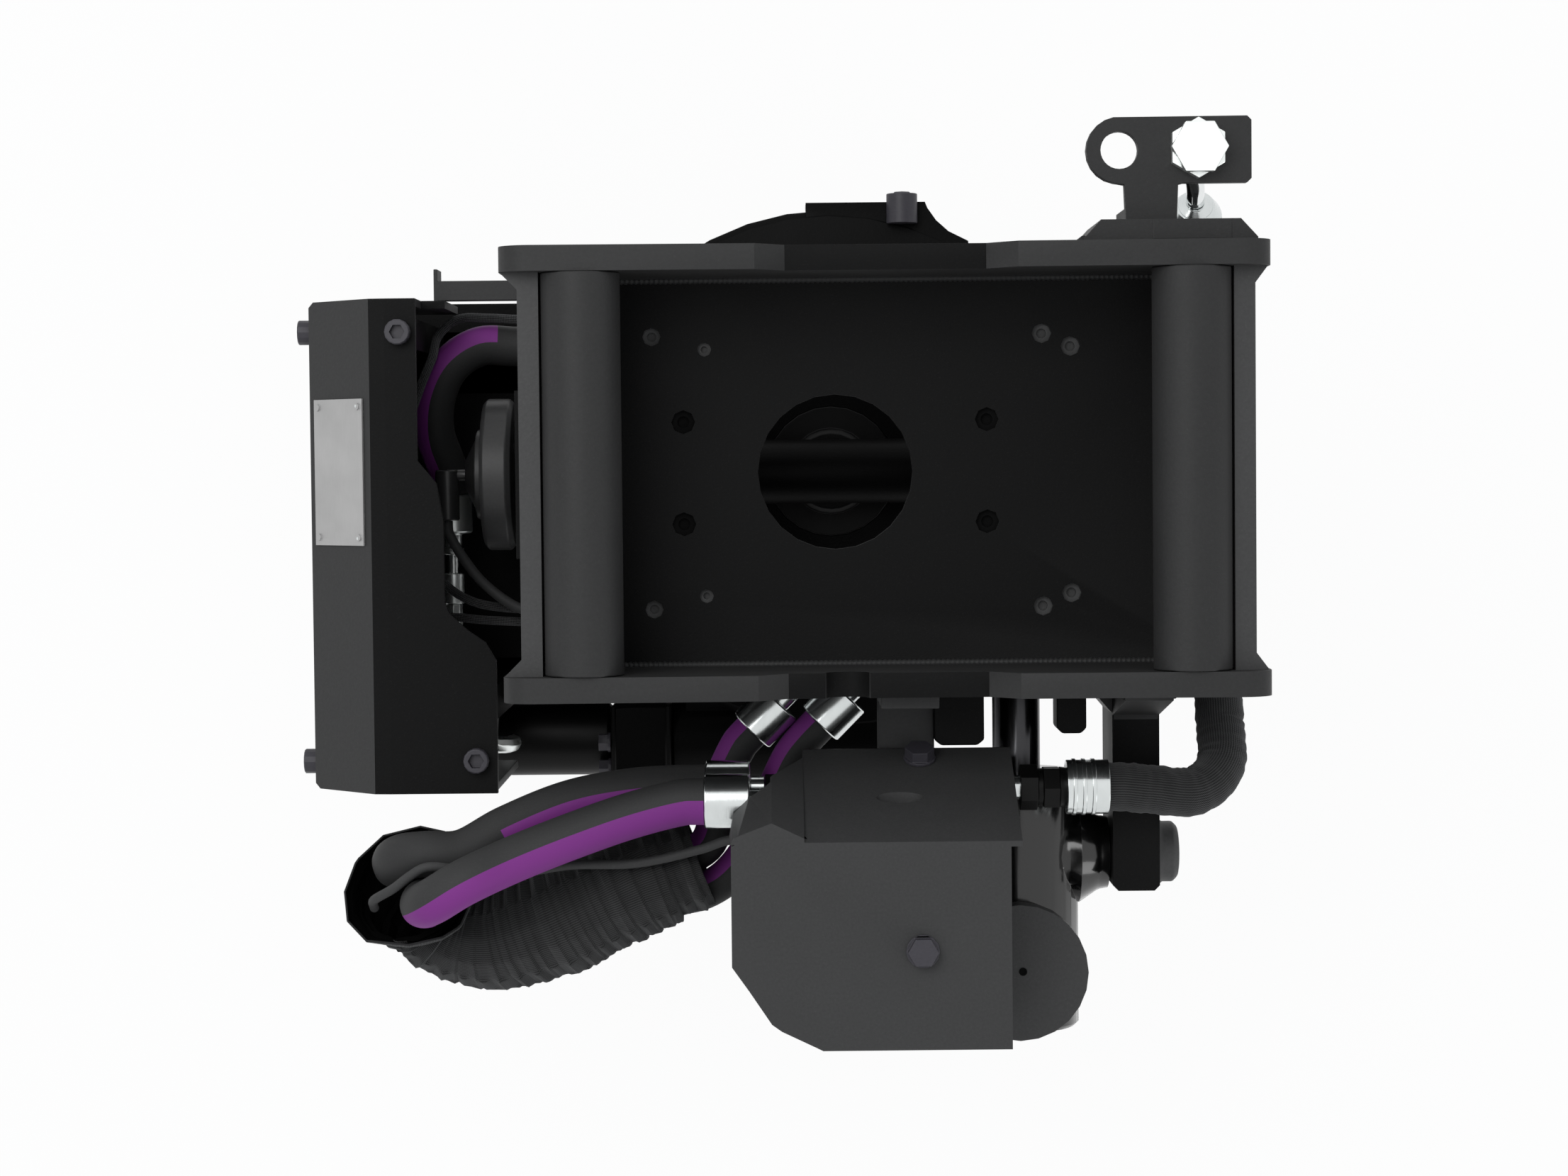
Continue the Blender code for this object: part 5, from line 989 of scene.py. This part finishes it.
# %% Tree for weld beads
def weld_tree():
    tree, given = new_tree("weld_bead", [("Width", "Float", 0.003), ("Step", "Float", 0.0012),
                                         ("Ripple length", "Float", 0.0036), ("Finish", "Material", None)])
    seam = add_node(tree, "GeometryNodeMeshToCurve", in_0=given["Geometry"])
    even = add_node(tree, "GeometryNodeResampleCurve", mode="LENGTH", in_0=seam.outputs[0],
                    in_Length=given["Step"])
    travelled = add_node(tree, "GeometryNodeSplineParameter").outputs["Length"]
    turns = calculate(tree, "DIVIDE", travelled, given["Ripple length"])
    swell = calculate(tree, "MULTIPLY_ADD", sine_of(tree, turns), 0.16, 1.0)
    ring = add_node(tree, "GeometryNodeCurvePrimitiveCircle", in_Resolution=10, in_Radius=given["Width"])
    sweep = add_node(tree, "GeometryNodeCurveToMesh", in_0=even.outputs[0], in_1=ring.outputs[0],
                     in_Scale=swell, in_Fill_Caps=True)
    return finish_tree(tree, sweep.outputs[0], given["Finish"])


WELD_TREE = weld_tree()
print("weld tree with", len(WELD_TREE.nodes), "nodes")

# %% Weld beads of the adapter
WELD_SEAMS = [((-207, side * 141.3, 498.6), (277, side * 141.3, 498.6)) for side in (-1, 1)]
WELD_SEAMS += [((x, side * 141.3, 545), (x, side * 141.3, 588)) for x in (-226, 296) for side in (-1, 1)]
WELD_SEAMS += [((193, -161.2, 472), (204, -161.2, 472)), ((241, -161.2, 472), (252, -161.2, 472))]
WELD_SEAMS += [((204.5, -162, 476), (204.5, -162, 556)), ((240.5, -162, 476), (240.5, -162, 556))]
WELD_SEAMS += [((174, 161, 503), (174, 161, 594)), ((186, 161, 499.4), (284, 161, 499.4))]


def seam_mesh(name, seams_mm):
    mesh = bpy.data.meshes.new(name)
    ends = [tuple(v * MM for v in end) for seam in seams_mm for end in seam]
    mesh.from_pydata(ends, [(2 * i, 2 * i + 1) for i in range(len(seams_mm))], [])
    return mesh


welds = made_by(WELD_TREE, "adapter_welds", seam_mesh("weld_seams", WELD_SEAMS),
                {"Width": 0.0028, "Step": 0.0012, "Ripple length": 0.0036, "Finish": ADAPTER_GREY})
smooth_by_angle(welds.data, 60.0)
settle(welds, "adapter")
print("welds have", len(welds.data.polygons), "faces")

# %% [markdown]
# Small screws and rivets
#
# Threaded plugs sit in the deck's small holes, and four rivets hold the plate on the guard. They are
# all one form in several sizes: a round head whose middle is pressed in or raised. One tree sets
# that head on every point of a mesh, turned to the point's own direction and scaled to its own size.

# %% Tree for round heads
def head_tree():
    tree, given = new_tree("round_heads", [
        ("Height", "Float", 0.004), ("Middle share", "Float", 0.55), ("Middle rise", "Float", -0.002),
        ("Sides", "Int", 24), ("Finish", "Material", None)])
    disc = add_node(tree, "GeometryNodeMeshCylinder", fill_type="NGON", in_Vertices=given["Sides"],
                    in_Depth=given["Height"], in_Radius=1.0).outputs
    rim = add_node(tree, "GeometryNodeExtrudeMesh", in_Mesh=disc["Mesh"], in_Selection=disc["Top"],
                   in_Offset_Scale=0.0).outputs
    shrink = add_node(tree, "GeometryNodeScaleElements", domain="FACE", in_Geometry=rim["Mesh"],
                      in_Selection=rim["Top"], in_Scale=given["Middle share"])
    middle = add_node(tree, "GeometryNodeExtrudeMesh", in_Mesh=shrink.outputs["Geometry"],
                      in_Selection=rim["Top"], in_Offset_Scale=given["Middle rise"])
    facing = add_node(tree, "GeometryNodeInputNamedAttribute", data_type="FLOAT_VECTOR", in_Name="facing")
    turn = add_node(tree, "FunctionNodeAlignRotationToVector", axis="Z", in_Vector=facing.outputs["Attribute"])
    wide = add_node(tree, "GeometryNodeInputNamedAttribute", data_type="FLOAT", in_Name="radius").outputs[0]
    size = add_node(tree, "ShaderNodeCombineXYZ", in_0=wide, in_1=wide, in_2=1.0)
    placed = add_node(tree, "GeometryNodeInstanceOnPoints", in_Points=given["Geometry"],
                      in_Instance=middle.outputs["Mesh"], in_Rotation=turn.outputs[0],
                      in_Scale=size.outputs[0])
    return finish_tree(tree, placed.outputs[0], given["Finish"])


HEAD_TREE = head_tree()


def head_points(name, points):
    """Mesh of single points, each (place in mm, direction, radius in mm)."""
    mesh = bpy.data.meshes.new(name)
    mesh.from_pydata([tuple(v * MM for v in place) for place, _, _ in points], [], [])
    mesh.attributes.new("facing", "FLOAT_VECTOR", "POINT")
    mesh.attributes.new("radius", "FLOAT", "POINT")
    for index, (_, direction, size) in enumerate(points):
        mesh.attributes["facing"].data[index].vector = direction
        mesh.attributes["radius"].data[index].value = size * MM
    return mesh


print("head tree with", len(HEAD_TREE.nodes), "nodes")

# %% Deck plugs and plate rivets
UP = (0, 0, 1)
# The four larger plugs are near black: painted shade in those holes.
DARK_PLUGS = [((sx * 111.5, sy * 37.5, 489), UP, 8.7) for sx in (-1, 1) for sy in (-1, 1)]
DECK_PLUGS = [((-95.5, sy * 90.5, 489), UP, 5.2) for sy in (-1, 1)]
DECK_PLUGS += [((-134.0, sy * 100.0, 489), UP, 6.7) for sy in (-1, 1)]
DECK_PLUGS += [((x, sy * y, 489), UP, 7.2) for x, y in ((152.0, 100.0), (173.0, 90.5)) for sy in (-1, 1)]
plugs = made_by(HEAD_TREE, "deck_plugs", head_points("plug_places", DECK_PLUGS),
                {"Height": 0.008, "Middle share": 0.5, "Middle rise": -0.004, "Finish": BAR_GREY})
dark_plugs = made_by(HEAD_TREE, "deck_plugs_dark", head_points("dark_plug_places", DARK_PLUGS),
                     {"Height": 0.008, "Middle share": 0.5, "Middle rise": -0.004, "Finish": HOLLOW_SHADE_BLACK})
# The cap's small plug is near black: painted shade in its dimple.
cap_plug = made_by(HEAD_TREE, "cap_plug", head_points("cap_place", [((135.0, -370.0, 502.0), UP, 3.0)]),
                   {"Height": 0.0009, "Middle share": 0.6, "Middle rise": -0.0003, "Sides": 20,
                    "Finish": HOLLOW_SHADE_BLACK})
SLOPE = (-0.70, 0, 0.714)
RIVETS = [((x, y, z), SLOPE, 1.9) for x, z in ((-390.2, 423.2), (-356.6, 456.0)) for y in (-46.5, 52.5)]
rivets = made_by(HEAD_TREE, "plate_rivets", head_points("rivet_places", RIVETS),
                 {"Height": 0.0016, "Middle share": 0.6, "Middle rise": 0.0004, "Sides": 16,
                  "Finish": BRIGHT_ZINC})
for heads, body in ((plugs, "adapter"), (dark_plugs, "adapter"), (rivets, "housing"),
                    (cap_plug, nodes["tilt_barrel"]["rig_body"])):
    smooth_by_angle(heads.data, 30.0)
    settle(heads, body)
print("heads:", len(DECK_PLUGS) + len(DARK_PLUGS), "plugs and", len(RIVETS), "rivets")


# %% [markdown]
# Floor, light and background
#
# The object stands on a white floor in soft light from all sides, with a broad lamp above and a weaker one
# at the side. A white world would light it too much. So rays from the camera and mirrored rays see white,
# and the rays that light matt surfaces meet a dimmer world. The floor keeps a faint shadow.

# %% Floor
def seen_by_camera(tree):
    """One for rays from the camera, mirrored ones too, and nought for those that light the object."""
    path = add_node(tree, "ShaderNodeLightPath").outputs
    seen = calculate(tree, "MAXIMUM", path["Is Camera Ray"], path["Is Glossy Ray"])
    return calculate(tree, "MAXIMUM", seen, path["Is Transmission Ray"])


FLOOR_HALF = 6
FLOOR_Z = -0.001
FLOOR_WHITE_SHARE = 0.94
floor_mesh = bpy.data.meshes.new("floor")
floor_corners = [(x * FLOOR_HALF, y * FLOOR_HALF, FLOOR_Z) for x, y in ((-1, -1), (1, -1), (1, 1), (-1, 1))]
floor_mesh.from_pydata(floor_corners, [], [(0, 1, 2, 3)])
floor = mesh_object("floor", floor_mesh)
floor_material = bpy.data.materials.new("white_floor")
tree = bare_tree(floor_material)
matt = add_node(tree, "ShaderNodeBsdfDiffuse", in_Color=(0.9, 0.9, 0.9, 1))
glow = add_node(tree, "ShaderNodeEmission")
share = calculate(tree, "MULTIPLY", seen_by_camera(tree), FLOOR_WHITE_SHARE)
mixed = add_node(tree, "ShaderNodeMixShader", in_0=share, in_1=matt.outputs[0], in_2=glow.outputs[0])
add_node(tree, "ShaderNodeOutputMaterial", in_0=mixed.outputs[0])
floor_mesh.materials.append(floor_material)
print("floor ready")

# %% World and lamps
world = bpy.data.worlds.new("soft_studio")
bpy.context.scene.world = world
tree = bare_tree(world)
soft = add_node(tree, "ShaderNodeBackground", in_Color=(0.93, 0.96, 1.0, 1), in_Strength=0.62)
white = add_node(tree, "ShaderNodeBackground", in_Color=(1, 1, 1, 1), in_Strength=1.0)
mixed = add_node(tree, "ShaderNodeMixShader", in_0=seen_by_camera(tree), in_1=soft.outputs[0],
                 in_2=white.outputs[0])
add_node(tree, "ShaderNodeOutputWorld", in_0=mixed.outputs[0])


def area_lamp(name, place, target, size, power):
    data = bpy.data.lights.new(name, "AREA")
    data.shape = "DISK"
    data.size = size
    data.energy = power
    lamp = bpy.data.objects.new(name, data)
    lamp.location = place
    lamp.rotation_euler = (Vector(target) - Vector(place)).to_track_quat("-Z", "Y").to_euler()
    bpy.context.scene.collection.objects.link(lamp)
    return lamp


area_lamp("lamp_above", (-0.9, 0.8, 2.6), (0, 0, 0.4), 1.6, 24.0)
area_lamp("lamp_side", (2.0, -1.6, 1.4), (0, 0, 0.4), 1.2, 9.0)
print("two lamps")

# %% Colour management
bpy.context.scene.view_settings.view_transform = "Standard"
print("view", bpy.context.scene.view_settings.view_transform)
